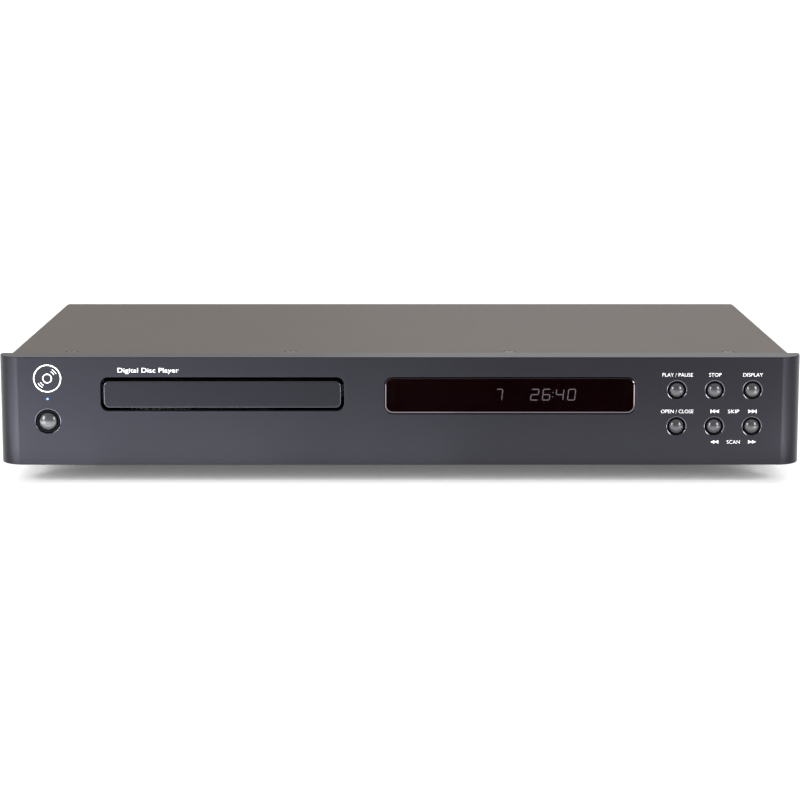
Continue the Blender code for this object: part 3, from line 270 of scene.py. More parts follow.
def circle(centre, radius, steps=64):
    return arc(centre, radius, 0, 360, steps)[:-1]


def bar(x, z, width, height):
    """A rectangle from its lower left corner."""
    return [(x, z), (x + width, z), (x + width, z + height), (x, z + height)]


def rounded(low, high, radius, steps=10):
    """A rectangle with round corners, anticlockwise."""
    (x0, y0), (x1, y1) = low, high
    r = max(radius, 0.02)
    return (
        arc((x1 - r, y1 - r), r, 0, 90, steps)
        + arc((x0 + r, y1 - r), r, 90, 180, steps)
        + arc((x0 + r, y0 + r), r, 180, 270, steps)
        + arc((x1 - r, y0 + r), r, 270, 360, steps)
    )


def fillet(radius, steps=5):
    """(inset, depth) pairs from a face into the side."""
    return [
        (radius * (1 - math.sin(a)), radius * (1 - math.cos(a)))
        for a in [math.pi / 2 * i / steps for i in range(steps + 1)]
    ]


def xz(corner):
    return corner.x, corner.z


def shrunk(low, high, inset):
    """A rectangle's corners moved in by inset, or out where it is negative."""
    return (low[0] + inset, low[1] + inset), (high[0] - inset, high[1] - inset)


def loft(loops, ring=False):
    """A solid through loops of points that all have the same number of points. A ring has no ends: its
    last loop joins its first."""
    shape = bmesh.new()
    rings = [[shape.verts.new(Vector(p)) for p in loop] for loop in loops]
    pairs = list(zip(rings, rings[1:]))
    if ring:
        pairs.append((rings[-1], rings[0]))
    for a, b in pairs:
        for i in range(len(a)):
            j = (i + 1) % len(a)
            shape.faces.new((a[i], a[j], b[j], b[i]))
    if not ring:
        shape.faces.new(list(reversed(rings[0])))
        shape.faces.new(rings[-1])
    bmesh.ops.recalc_face_normals(shape, faces=shape.faces)
    return shape


def joined(shapes):
    """Several shapes as one, without cutting them where they meet."""
    whole = bmesh.new()
    for shape in shapes:
        mesh = bpy.data.meshes.new("part")
        shape.to_mesh(mesh)
        shape.free()
        whole.from_mesh(mesh)
        bpy.data.meshes.remove(mesh)
    return whole


def on_y(outline, y):
    return [(x, y, z) for x, z in outline]


def on_z(outline, z):
    return [(x, y, z) for x, y in outline]


def lathe(profile, steps=96):
    """A turned solid round Z. The (radius, height) profile starts and ends on the axis, or closes on
    itself if it doesn't reach the axis."""
    shape = bmesh.new()
    rings = []
    for r, z in profile:
        if r < 1e-6:
            rings.append([shape.verts.new((0, 0, z))])
        else:
            rings.append([shape.verts.new((x, y, z)) for x, y in circle((0, 0), r, steps)])
    pairs = list(zip(rings, rings[1:]))
    if profile[0][0] > 1e-6 and profile[-1][0] > 1e-6:
        pairs.append((rings[-1], rings[0]))
    for a, b in pairs:
        for i in range(steps):
            j = (i + 1) % steps
            corners = [a[i % len(a)], a[j % len(a)], b[j % len(b)], b[i % len(b)]]
            unique = list(dict.fromkeys(corners))
            if len(unique) > 2:
                shape.faces.new(unique)
    bmesh.ops.recalc_face_normals(shape, faces=shape.faces)
    return shape


def softened(profile, radius=0.3, steps=3):
    """The profile with its corners rounded. The first and last points stay."""
    points = [Vector(p) for p in profile]
    result = [tuple(points[0])]
    for before, corner, after in zip(points, points[1:], points[2:]):
        reach = min(radius, (before - corner).length * 0.45, (after - corner).length * 0.45)
        start = corner + (before - corner).normalized() * reach
        end = corner + (after - corner).normalized() * reach
        for i in range(steps + 1):
            t = i / steps
            point = start * (1 - t) ** 2 + corner * 2 * t * (1 - t) + end * t**2
            result.append(tuple(point))
    return result + [tuple(points[-1])]


AXES = {
    "Z": Matrix.Identity(4),
    "-Y": Matrix.Rotation(math.pi / 2, 4, "X"),
    "Y": Matrix.Rotation(-math.pi / 2, 4, "X"),
}


def placed(shape, origin, axis="Z"):
    bmesh.ops.transform(shape, matrix=Matrix.Translation(origin) @ AXES[axis], verts=shape.verts)
    return shape


def on_front(profile, x, z, steps):
    """A turned solid whose axis points out of the front."""
    return placed(lathe(profile, steps), (x, FACE, z), "-Y")


def on_rear(profile, x, z, steps):
    """A turned solid whose axis points out of the rear."""
    return placed(lathe(profile, steps), (x, REAR, z), "Y")


def raw(name, shape):
    """An object from a shape in millimetres, made in metres."""
    bmesh.ops.scale(shape, vec=(MM, MM, MM), verts=shape.verts)
    mesh = bpy.data.meshes.new(name)
    shape.to_mesh(mesh)
    shape.free()
    obj = bpy.data.objects.new(name, mesh)
    SCENE.collection.objects.link(obj)
    return obj


def carve(obj, cutters, operation="DIFFERENCE"):
    """Cuts shapes from an object, or joins them to it, and leaves a plain mesh."""
    tools = [raw("tool", c) for c in cutters]
    for tool in tools:
        modifier = obj.modifiers.new("cut", "BOOLEAN")
        modifier.operation = operation
        modifier.solver = "EXACT"
        modifier.object = tool
    depsgraph = bpy.context.evaluated_depsgraph_get()
    mesh = bpy.data.meshes.new_from_object(obj.evaluated_get(depsgraph))
    obj.modifiers.clear()
    obj.data = mesh
    for tool in tools:
        bpy.data.objects.remove(tool)
    return obj


def flatten(obj):
    """Lets the large faces set the shading normals, so a flat face shades flat up to its rounded edge."""
    modifier = obj.modifiers.new("flat", "WEIGHTED_NORMAL")
    modifier.keep_sharp = True
    mesh = bpy.data.meshes.new_from_object(obj.evaluated_get(bpy.context.evaluated_depsgraph_get()))
    obj.modifiers.clear()
    obj.data = mesh


def finish(obj, material, body, nodes=(), angle=32):
    """Shades a piece, gives it its material and says what it rides on and stands for."""
    mesh = obj.data
    mesh.materials.clear()
    mesh.materials.append(material)
    mesh.shade_smooth()
    mesh.set_sharp_from_angle(angle=math.radians(angle))
    flatten(obj)
    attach(obj, body)
    if nodes:
        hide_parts(*nodes)
    return obj


def piece(name, shape, material, body="case", nodes=(), angle=32):
    return finish(raw(name, shape), material, body, nodes, angle)


def plate_y(low, high, radius, front, rear, edge, rear_edge=0.0, steps=10):
    """A plate that faces -Y, with its front edges rounded and its rear ones chamfered."""
    loops = []
    for inset, depth in fillet(edge):
        loops.append(on_y(rounded(*shrunk(low, high, inset), radius - inset, steps), front + depth))
    loops.append(on_y(rounded(low, high, radius, steps), rear - rear_edge))
    if rear_edge:
        loops.append(on_y(rounded(*shrunk(low, high, rear_edge), radius - rear_edge, steps), rear))
    return loft(loops)


def opening_cutter(low, high, radius, rim):
    """Cuts a round-cornered opening through the panel, with a rounded rim."""
    loops = []
    for share, back in ((1.35, -0.18), (0.62, 0.12), (0.26, 0.36), (0.07, 0.68), (0.0, 1.0)):
        grow = rim * share
        loops.append(on_y(rounded(*shrunk(low, high, -grow), radius + grow), FACE + rim * back))
    loops.append(on_y(rounded(low, high, radius), FACE + CUT_DEPTH))
    return loft(loops)


def hole_cutter(x, z, radius, rim):
    """Cuts a round hole through the panel, with a rounded rim."""
    profile = [(0, 3), (radius + rim * 1.9, 3), (radius + rim, 0.1)]
    for angle in range(10, 91, 10):
        turn = math.radians(angle)
        profile.append((radius + rim * (1 - math.sin(turn)), rim * (math.cos(turn) - 1)))
    profile += [(radius, -CUT_DEPTH), (0, -CUT_DEPTH)]
    return on_front(profile, x, z, 72)


# ---------------------------------------------------------------- case


def panel_plan(inset, end_radius, front, rear):
    """The panel from above: a flat front that meets each rounded end at a slight corner."""
    half, corner, steps = PANEL_HIGH.x - inset, 10, 24
    middle_y = front + end_radius * math.cos(math.radians(corner))
    left = arc((-half + end_radius, middle_y), end_radius, 180, 270 - corner, steps)
    right = arc((half - end_radius, middle_y), end_radius, 270 + corner, 360, steps)
    return [(-half, rear)] + left + right + [(half, rear)]


def window_limits():
    """The window's opening: its lens without the flange, and the clearance round it."""
    low, high = box("display_window")
    flange = 3.0
    return shrunk(*shrunk(xz(low), xz(high), flange), -WINDOW_GAP)


def slot_limits():
    """The tray's opening: the tray front and the clearance round it."""
    low, high = box("tray_front")
    return (low.x - 1.65, low.z - 1.6), (high.x + 1.65, high.z + 2.2)


def polish(obj, centres=None, reach=0.0):
    """Gives a piece's sloping front edges the polished finish, all of them or those round some holes."""
    obj.data.materials.append(GRAPHITE_EDGE)
    for face in obj.data.polygons:
        x, z = face.center.x / MM, face.center.z / MM
        wanted = centres is None or any(math.hypot(x - cx, z - cz) < reach for cx, cz in centres)
        if wanted and 0.2 < -face.normal.y < 0.98:
            face.material_index = 1


def make_panel():
    wall, front_wall, rear = 2.5, 3.5, PANEL_HIGH.y
    outer_end, inner_end = 13.8, 10.5
    steps = fillet(0.4)
    levels = [(inset, PANEL_LOW.z + rise) for inset, rise in steps]
    levels += [(inset, PANEL_HIGH.z - rise) for inset, rise in reversed(steps)]
    loops = []
    for inset, z in levels:
        loops.append(on_z(panel_plan(inset, outer_end - inset, FACE + inset, rear), z))
    panel = raw("panel", loft(loops))
    hollow = panel_plan(wall, inner_end, FACE + front_wall, rear + 5)
    cutters = [
        loft([on_z(hollow, z) for z in (PANEL_LOW.z + wall, PANEL_HIGH.z - wall)]),
        opening_cutter(*slot_limits(), 4.0, 0.45),
        opening_cutter(*window_limits(), 4.5, 0.55),
    ]
    keys = [xz(middle(name)) for name in BUTTONS]
    power = xz(middle("power_button"))
    for place in keys:
        cutters.append(hole_cutter(*place, 4.85, 0.7))
    cutters.append(hole_cutter(*power, 6.6, 0.5))
    cutters.append(hole_cutter(*xz(middle("power_led")), 0.75, 0.12))
    carve(panel, cutters)
    finish(panel, GRAPHITE, "case", ["front_panel"])
    polish(panel, keys + [power], 7.8)


def strip(points, thickness):
    """Both sides of a folded sheet as one closed outline, from the middle line's points."""
    left, right = [], []
    for i, point in enumerate(points):
        p = Vector(point)
        before = Vector(points[max(i - 1, 0)])
        after = Vector(points[min(i + 1, len(points) - 1)])
        along = (after - before).normalized()
        normal = Vector((-along.y, along.x)) * thickness / 2
        left.append(tuple(p + normal))
        right.append(tuple(p - normal))
    return left + right[::-1]


def make_cover():
    sheet, bend, soft = 1.0, 2.6, 0.15
    half = COVER_HIGH.x - sheet / 2
    top = COVER_HIGH.z - sheet / 2
    line = [(-half, COVER_LOW.z)]
    line += arc((-half + bend, top - bend), bend, 180, 90, 12)
    line += arc((half - bend, top - bend), bend, 90, 0, 12)
    line += [(half, COVER_LOW.z)]
    loops = []
    for y, shrink in ((COVER_LOW.y, soft), (COVER_LOW.y + soft, 0), (REAR - soft, 0), (REAR, soft)):
        loops.append(on_y(strip(line, sheet - 2 * shrink), y))
    cover = raw("cover", loft(loops))
    profile = [(0, 2), (3.75, 2), (3.5, 0.1), (3.3, -0.12), (3.25, -5), (0, -5)]
    cutters = []
    for node in COVER_SCREWS:
        place = middle(node)
        cutters.append(placed(lathe(profile, 48), (place.x, place.y, COVER_HIGH.z)))
    carve(cover, cutters)
    finish(cover, COVER, "case", ["top_cover"])


def make_screw(node):
    """A countersunk screw with a cross recess."""
    low, high = box(node)
    place = (low + high) / 2
    top = high.z - low.z
    profile = [(0, top), (2.6, top), (2.95, top - 0.12), (3.0, top - 0.35), (1.5, top - 1.9)]
    z = top - 2.2
    while z > 0.8:
        profile += [(1.5, z), (1.28, z - 0.3)]
        z -= 0.6
    profile += [(1.0, 0.2), (0.6, 0), (0, 0)]
    screw = raw(node + "_detail", placed(lathe(profile, 32), (place.x, place.y, low.z)))
    blades = []
    for angle in (20, 110):
        blade = loft([on_z(bar(-0.7, -0.16, 1.4, 0.32), -1.3), on_z(bar(-1.75, -0.28, 3.5, 0.56), 0.4)])
        turn = Matrix.Rotation(math.radians(angle), 3, "Z")
        bmesh.ops.rotate(blade, verts=blade.verts, cent=(0, 0, 0), matrix=turn)
        blades.append(placed(blade, (place.x, place.y, high.z)))
    carve(screw, blades)
    finish(screw, DARK_STEEL, "case", [node])


def make_foot(node):
    low, high = box(node)
    r, top = (high.x - low.x) / 2, high.z
    place = (low + high) / 2
    profile = [
        (0, top),
        (r - 1, top),
        (r, top - 1),
        (r - 0.45, top - 4),
        (r - 0.95, top - 4.25),
        (r - 0.95, top - 4.75),
        (r - 0.6, top - 5),
        (r - 2, 1.2),
        (r - 3.2, 0),
        (r - 6.5, 0),
        (r - 7.2, 0.8),
        (4.5, 0.8),
        (3.4, 2.4),
        (0, 2.4),
    ]
    foot = placed(lathe(softened(profile, 0.35)), (place.x, place.y, 0))
    piece(node + "_detail", foot, RUBBER, "case", [node])


# ---------------------------------------------------------------- front


def make_tray_front():
    low, high = box("tray_front")
    shape = plate_y(xz(low), xz(high), 3.0, low.y, high.y, 0.55, 0.3, 12)
    polish(piece("tray_front_detail", shape, TRAY_PAINT, "tray_drawer", ["tray_front"]))


def make_window():
    """The smoked lens with its flange, and a bright line round the lens."""
    low, high = box("display_window")
    start, end = shrunk(*window_limits(), WINDOW_GAP)
    lens = raw("window_lens", plate_y(start, end, 4.1, low.y, high.y - 0.1, 0.6, 0.2, 12))
    flange = plate_y(xz(low), xz(high), 1.0, high.y - 1.1, high.y, 0.1)
    carve(lens, [flange], "UNION")
    finish(lens, LENS, "case", ["display_window"])
    outer = rounded(*shrunk(start, end, -0.02), 4.12, 12)
    inner = rounded(*shrunk(start, end, 0.55), 3.55, 12)
    loops = [(outer, 0.7), (outer, 0.2), (inner, -0.02), (inner, 0.15)]
    bevel = loft([on_y(outline, low.y + depth) for outline, depth in loops], ring=True)
    piece("window_bevel", bevel, BEVEL, angle=20)


SEGMENTS = {
    "0": "abcdef",
    "2": "abged",
    "4": "fgbc",
    "6": "afgedc",
    "7": "abc",
}


def segment_outline(start, end, width):
    """A segment with pointed ends."""
    start, end = Vector(start), Vector(end)
    along = (end - start).normalized()
    side = Vector((-along.y, along.x)) * width / 2
    tip = along * width / 2
    return [start, start + tip - side, end - tip - side, end, end - tip + side, start + tip + side]


def digit_segments(digit, x, z, width, height, line):
    """The outlines of a slanted digit's lit segments."""
    corners = {}
    for row in range(3):
        rise = row * height / 2
        corners[f"l{row}"] = (x + rise * LEAN, z + rise)
        corners[f"r{row}"] = (x + width + rise * LEAN, z + rise)
    ends = {
        "a": ("l2", "r2"),
        "b": ("r1", "r2"),
        "c": ("r0", "r1"),
        "d": ("l0", "r0"),
        "e": ("l0", "l1"),
        "f": ("l1", "l2"),
        "g": ("l1", "r1"),
    }
    outlines = []
    for name in SEGMENTS[digit]:
        first, second = (Vector(corners[c]) for c in ends[name])
        trim = (second - first).normalized() * line * 0.25
        outlines.append(segment_outline(first + trim, second - trim, line))
    return outlines


def flat_shape(outlines, y, thickness=0.03):
    """Outlines in the plane that faces -Y, as one thin shape."""
    shape = bmesh.new()
    for outline in outlines:
        near = [shape.verts.new((p[0], y, p[1])) for p in outline]
        far = [shape.verts.new((p[0], y + thickness, p[1])) for p in outline]
        shape.faces.new(near)
        shape.faces.new(far[::-1])
        for i in range(len(near)):
            j = (i + 1) % len(near)
            shape.faces.new((near[i], far[i], far[j], near[j]))
    bmesh.ops.recalc_face_normals(shape, faces=shape.faces)
    return shape


def make_display():
    """The tube behind the window, with a lit track number and time."""
    low, high = box("display_module")
    tube = raw("display_tube", plate_y(xz(low), xz(high), 0.8, low.y, low.y + 3.8, 0.5, 0.3))
    back_low, back_high = (low.x + 2, low.z + 1.5), (high.x - 2, high.z - 1.5)
    carve(tube, [plate_y(back_low, back_high, 0.4, low.y + 3.4, high.y, 0.1)], "UNION")
    finish(tube, GLASS, "case", ["display_module"])
    line, height, base, dot = 0.42, 5.9, 45.75, 0.5
    shown = (("7", 51.8, 3.35), ("2", 70.8, 3.95), ("6", 77.2, 3.8), ("4", 84.4, 3.95), ("0", 90.9, 3.8))
    outlines = []
    for digit, x, width in shown:
        outlines += digit_segments(digit, x, base, width, height, line)
    for rise in (1.75, 4.1):
        outlines.append(bar(82.6 + rise * LEAN - dot / 2, base + rise - dot / 2, dot, dot))
    piece("display_digits", flat_shape(outlines, low.y - 0.05, 0.04), DIGIT)


def make_button(node):
    """A domed cap with a soft rim, its flange and its stem."""
    low, high = box(node)
    place = (low + high) / 2
    flange = (high.x - low.x) / 2
    radius = 4.65 if node == "power_button" else 3.85
    front, stem = FACE - low.y, FACE - high.y
    flange_front, flange_rear = -6.1, -7.1
    drop = 1.75
    sphere = (radius**2 + drop**2) / (2 * drop)
    profile = []
    for i in range(13):
        r = (radius - 0.25) * i / 12
        profile.append((r, front - (sphere - math.sqrt(sphere**2 - r**2))))
    profile += [(radius - 0.06, front - drop * 1.02), (radius, front - drop * 1.2)]
    profile += [(radius, flange_front), (flange, flange_front), (flange, flange_rear)]
    profile += [(1.5, flange_rear), (1.5, stem), (0, stem)]
    piece(node + "_detail", on_front(profile, place.x, place.z, 72), BUTTON, node, [node], angle=40)


def make_guide(node, holes, outer, inner):
    """A black block behind the panel, with a bored collar round each button. Its near-black, dull finish is
    partly the real black plastic and partly painted shade deep in the recesses round the buttons.
    """
    low, high = box(node)
    guide = raw(node + "_detail", plate_y(xz(low), xz(high), 1.5, FACE + 3.8, high.y, 0.1))
    top = -low.y + FACE
    collar = [(0, top), (outer - 0.15, top), (outer, top - 0.15), (outer, -5.5), (0, -5.5)]
    bore = [(0, 3), (inner + 3.4, 3), (inner + 0.35, top - 0.02), (inner, top - 0.4), (inner, -9), (0, -9)]
    carve(guide, [on_front(collar, x, z, 64) for x, z in holes], "UNION")
    carve(guide, [on_front(bore, x, z, 64) for x, z in holes])
    # The guide's near-black finish is partly painted shade for the button recesses.
    finish(guide, BLACK_WITH_RECESS_SHADE, "case", [node])


def make_lamp():
    """A small domed lamp with its collar and its body."""
    place = middle("power_led")
    r = 0.6
    profile = [(0, -0.05), (r * 0.4, -0.07), (r * 0.75, -0.15), (r, -0.4), (r, -3.6)]
    profile += [(1.8, -3.6), (1.8, -5.5), (0.9, -5.5), (0.9, -10), (0, -10)]
    piece("power_lamp", on_front(profile, place.x, place.z, 40), LAMP, "case", ["power_led"])


# ---------------------------------------------------------------- printing


def lettering(text, height, weight):
    """Text as a mesh with its lower left corner at the origin. Height is that of a capital."""
    curve = bpy.data.curves.new("lettering", "FONT")
    curve.body = text
    curve.size = 1.0
    curve.offset = weight
    curve.resolution_u = 4
    obj = bpy.data.objects.new("lettering", curve)
    SCENE.collection.objects.link(obj)
    mesh = bpy.data.meshes.new_from_object(obj.evaluated_get(bpy.context.evaluated_depsgraph_get()))
    bpy.data.objects.remove(obj)
    shape = bmesh.new()
    shape.from_mesh(mesh)
    capital = 0.73
    scale = height / capital
    bmesh.ops.scale(shape, vec=(scale, scale, scale), verts=shape.verts)
    return shape


def span(shape):
    xs = [v.co.x for v in shape.verts]
    return min(xs), max(xs)


def print_text(name, text, start, end, base, height, y, facing=-1, weight=-0.007):
    """Prints text between two X positions, with its feet at base, on a face that looks along -Y or +Y."""
    shape = lettering(text, height, weight)
    low, high = span(shape)
    stretch = (end - start) / (high - low)
    for v in shape.verts:
        x = start + (v.co.x - low) * stretch
        z = base + v.co.y
        if facing > 0:
            x = start + end - x
        v.co = Vector((x, y, z))
    thicken = bmesh.ops.extrude_face_region(shape, geom=shape.faces[:])
    for v in [g for g in thicken["geom"] if isinstance(g, bmesh.types.BMVert)]:
        v.co.y += facing * INK_THICKNESS
    bmesh.ops.recalc_face_normals(shape, faces=shape.faces)
    return piece(name, shape, INK)


def triangle(x, z, width, height, way):
    """A triangle that points to +X or -X."""
    if way > 0:
        return [(x, z), (x + width, z + height / 2), (x, z + height)]
    return [(x + width, z), (x + width, z + height), (x, z + height / 2)]


def arrows(x, z, width, height, way):
    """Two triangles in a row."""
    return [triangle(x + i * width, z, width, height, way) for i in range(2)]


PRINT_Y = FACE - 0.002
INK_THICKNESS = 0.015
INK_FRONT = PRINT_Y - 0.013
ROWS = {"upper": 59.45, "middle": 39.45, "lower": 22.65}


def make_labels():
    """The words at the buttons."""
    columns = [middle(name).x for name in BUTTONS[:3]]
    for name, text, centre, width, row in (
        ("label_play", "PLAY / PAUSE", columns[0] + 0.2, 16.5, "upper"),
        ("label_stop", "STOP", columns[1] + 0.1, 6.7, "upper"),
        ("label_display", "DISPLAY", columns[2] + 0.1, 10.6, "upper"),
        ("label_open", "OPEN / CLOSE", columns[0] + 0.3, 17.5, "middle"),
        ("label_skip", "SKIP", 180.4, 6.0, "middle"),
        ("label_scan", "SCAN", 180.6, 7.1, "lower"),
    ):
        print_text(name, text, centre - width / 2, centre + width / 2, ROWS[row], 2.05, PRINT_Y)


def make_signs():
    """The arrows over and under the skip buttons."""
    back, forward = (middle(name).x for name in BUTTONS[1:3])
    bar_width, height = 0.45, 1.95
    x, z, size = back - 2.1, ROWS["middle"] + 0.05, 2.05
    signs = [bar(x, z, bar_width, height)] + arrows(x + bar_width, z, size, height, -1)
    x = forward - 2.1
    signs += arrows(x, z, size, height, 1) + [bar(x + 2 * size, z, bar_width, height)]
    z, size = ROWS["lower"] + 0.05, 2.15
    signs += arrows(back - 1.8, z, size, height, -1) + arrows(forward - 1.8, z, size, height, 1)
    piece("label_signs", flat_shape(signs, INK_FRONT, INK_THICKNESS), INK)


def make_title():
    """The line of words over the tray."""
    low, high = slot_limits()
    start, end, base = low[0] + 9.4, low[0] + 42.4, high[1] + 2.7
    print_text("label_title", "Digital Disc Player", start, end, base, 2.6, PRINT_Y, weight=0.0)


def make_disc_sign():
    """A plain drawing of a disc: its rim, its hole and two pairs of gleams."""
    centre = (middle("power_led").x + 0.1, 58.4)
    rear = INK_FRONT + INK_THICKNESS
    parts = []
    for outer, inner in ((7.55, 6.95), (2.6, 2.1)):
        wide, narrow = circle(centre, outer, 96), circle(centre, inner, 96)
        sides = ((wide, INK_FRONT), (narrow, INK_FRONT), (narrow, rear), (wide, rear))
        parts.append(loft([on_y(outline, y) for outline, y in sides], ring=True))
    gleams = []
    half = 0.18
    for start, end in ((28, 62), (208, 242)):
        for radius in (4.2, 5.5):
            outer = arc(centre, radius + half, start, end, 16)
            inner = arc(centre, radius - half, start, end, 16)
            gleams.append(outer + inner[::-1])
    parts.append(flat_shape(gleams, INK_FRONT, INK_THICKNESS))
    piece("disc_sign", joined(parts), INK)


# ---------------------------------------------------------------- rear


def wall_cutter(outline):
    """Cuts an opening through the rear panel."""
    return loft([on_y(outline, REAR - 5), on_y(outline, REAR + 5)])


def make_rear_panel():
    low, high = box("rear_panel")
    outline = rounded(xz(low), xz(high), 2, 8)
    rear = raw("rear_sheet", loft([on_y(outline, low.y), on_y(outline, high.y)]))
    cutters = []
    for node in ("line_out_left", "line_out_right", "coaxial_out"):
        cutters.append(wall_cutter(circle(xz(middle(node)), 4.6, 48)))
    low, high = box("optical_out")
    cutters.append(wall_cutter(rounded(*shrunk(xz(low), xz(high), -0.3), 0.5, 4)))
    x, z = xz(middle("mains_inlet"))
    cutters.append(wall_cutter(rounded((x - 11.3, z - 7.3), (x + 11.3, z + 7.3), 1, 4)))
    carve(rear, cutters)
    finish(rear, COVER, "case", ["rear_panel"])
    y = REAR + 0.002
    for name, text, x, width, z in (
        ("rear_label_l", "L", 62.0, 1.3, 47.0),
        ("rear_label_r", "R", 62.0, 1.5, 29.0),
        ("rear_label_line", "LINE OUT", 70.0, 12.0, 56.5),
        ("rear_label_coaxial", "COAXIAL", 35.0, 11.0, 38.5),
        ("rear_label_optical", "OPTICAL", 8.0, 10.5, 38.5),
        ("rear_label_mains", "AC IN", 190.0, 7.6, 43.0),
    ):
        print_text(name, text, x - width / 2, x + width / 2, z, 2.0, y, facing=1)


def make_jack(node, colour):
    """A phono socket: coloured collar and insulator, bright barrel and centre contact."""
    x, z = xz(middle(node))
    end = box(node)[1].y - REAR
    collar = [(4.2, -1.3), (4.2, 0.3), (5.6, 0.3), (5.9, 0.6), (5.9, 2.1)]
    collar += [(5.6, 2.4), (4.0, 2.4), (4.0, -1.3)]
    piece(node + "_collar", on_rear(collar, x, z, 64), colour, "case", [node])
    body = [(0, -1.35), (5.5, -1.35), (5.5, -12), (0, -12)]
    piece(node + "_body", on_rear(softened(body), x, z, 48), BLACK)
    barrel = [(3.9, -1.2), (3.9, 2.5), (4.15, 2.6), (4.15, end - 0.35), (3.9, end)]
    barrel += [(3.45, end), (3.3, end - 0.2), (3.3, -1.2)]
    piece(node + "_barrel", on_rear(barrel, x, z, 64), NICKEL)
    insulator = [(3.25, -1.2), (3.25, end - 0.8), (3.0, end - 0.6)]
    insulator += [(1.9, end - 0.6), (1.65, end - 0.8), (1.65, -1.2)]
    piece(node + "_insulator", on_rear(insulator, x, z, 64), colour)
    contact = [(1.6, -1.1), (1.6, end - 1.4), (1.2, end - 1.2), (1.2, -1.1)]
    piece(node + "_contact", on_rear(contact, x, z, 32), NICKEL)


def make_optical():
    """The optical socket with its flared mouth, and the flap in it."""
    low, high = box("optical_out")
    place = (low + high) / 2
    sides = xz(low), xz(high)
    loops = [
        on_y(rounded(*sides, 0.6, 5), low.y),
        on_y(rounded(*sides, 0.6, 5), high.y - 0.25),
        on_y(rounded(*shrunk(*sides, 0.25), 0.5, 5), high.y),
    ]
    body = raw("optical_socket", loft(loops))
    half, flare = 4.3, 0.45
    mouth = rounded((place.x - half, place.z - half), (place.x + half, place.z + half + 0.9), 0.3, 4)
    rim_low = (place.x - half - flare, place.z - half - flare)
    rim_high = (place.x + half + flare, place.z + half + 1.3)
    loops = [
        on_y(mouth, REAR - 13.2),
        on_y(mouth, high.y - 0.3),
        on_y(rounded(rim_low, rim_high, 0.5, 4), high.y + 0.2),
    ]
    carve(body, [loft(loops)])
    finish(body, BLACK, "case", ["optical_out"])
    low, high = box("optical_shutter")
    flap = raw("optical_flap", plate_y(xz(low), xz(high), 0.3, low.y, high.y, 0.15, 0.15, 4))
    ridge_low, ridge_high = (low.x + 1.6, low.z + 1.2), (high.x - 1.6, low.z + 1.7)
    ridge = plate_y(ridge_low, ridge_high, 0.2, high.y - 0.14, high.y - 0.02, 0.03, 0.03, 3)
    carve(flap, [ridge], "UNION")
    finish(flap, GREY, "optical_shutter", ["optical_shutter"])


def stadium(centre, half, radius, steps=16):
    """A bar with round ends, lying along X."""
    x, z = centre
    right = arc((x + half - radius, z), radius, -90, 90, steps)
    return right + arc((x - half + radius, z), radius, 90, 270, steps)


def make_inlet():
    """A two-pole mains inlet: flange, block, recess and two pins."""
    low, high = box("mains_inlet")
    x, z = xz((low + high) / 2)
    body = raw("inlet_body", plate_y(xz(low), xz(high), 2, REAR + 0.3, high.y, 0.05, 0.4, 8))
    outline = rounded((x - 11, z - 7), (x + 11, z + 7), 0.8, 4)
    carve(body, [loft([on_y(outline, low.y), on_y(outline, REAR + 1)])], "UNION")
    recess = [
        on_y(stadium((x, z), 8.3, 4.3), REAR - 10),
        on_y(stadium((x, z), 8.3, 4.3), high.y - 0.4),
        on_y(stadium((x, z), 9.0, 5.0), high.y + 0.3),
    ]
    carve(body, [loft(recess)])
    finish(body, BLACK, "case", ["mains_inlet"])
    pin = [(0, -1.0), (0.7, -1.0), (1.05, -1.3), (1.2, -1.8), (1.2, -10.4), (0, -10.4)]
    for side, word in ((-1, "left"), (1, "right")):
        piece(f"inlet_pin_{word}", on_rear(pin, x + side * 4.3, z, 32), NICKEL)


# ---------------------------------------------------------------- tray


def make_tray():
    """The tray's floor with its two disc wells, slot, finger dips, tongues and rack."""
    low, high = box("tray")
    front = box("tray_front")
    centre_x = (front[0].x + front[1].x) / 2
    disc_y = middle("clamper").y
    half = 63.25
    bottom, top, floor, inner_floor = 47.0, high.z, 52.0, 50.5
    loops = []
    for z, inset in ((bottom, 0.2), (bottom + 0.2, 0), (top - 0.6, 0), (top - 0.25, 0.12), (top, 0.45)):
        corners = shrunk((centre_x - half, low.y), (centre_x + half, high.y), inset)
        loops.append(on_z(rounded(*corners, 3 - inset, 8), z))
    tray = raw("tray_detail", loft(loops))
    tongues = []
    for side in (-1, 1):
        edges = sorted((centre_x + side * (half - 1), centre_x + side * 65.2))
        near, far = low.y + 18.2, high.y - 4
        outline = [(edges[0], near), (edges[1], near), (edges[1], far), (edges[0], far)]
        tongues.append(loft([on_z(outline, 48.0), on_z(outline, 49.8)]))
    tongues.append(rack_shape(centre_x))
    carve(tray, tongues, "UNION")
    depth = top - floor
    wells = []
    for radius, level, rim in (
        (60.75, floor, (depth + 0.12, depth - 0.18, depth - 0.7)),
        (40.75, inner_floor, (1.62, 1.3, 0.95)),
    ):
        profile = [
            (0, 8),
            (radius + 1.5, 8),
            (radius + 0.75, rim[0]),
            (radius + 0.3, rim[1]),
            (radius, rim[2]),
            (radius, 0.5),
            (radius - 0.5, 0),
            (0, 0),
        ]
        wells.append(placed(lathe(profile, 160), (centre_x, disc_y, level)))
    nose = arc((centre_x, disc_y - 2), 25, 180, 360, 40)
    slot = [(centre_x + 25, high.y + 5), (centre_x - 25, high.y + 5)] + nose
    wells.append(loft([on_z(slot, bottom - 6), on_z(slot, 62)]))
    for side in (-1, 1):
        profile = [(0, 8), (9.5, 8), (9.5, 0.6), (8.9, 0), (0, 0)]
        wells.append(placed(lathe(profile, 48), (centre_x + side * 60.5, disc_y, 52.0)))
    carve(tray, wells)
    finish(tray, TRAY_BLACK, "tray_drawer", ["tray"])


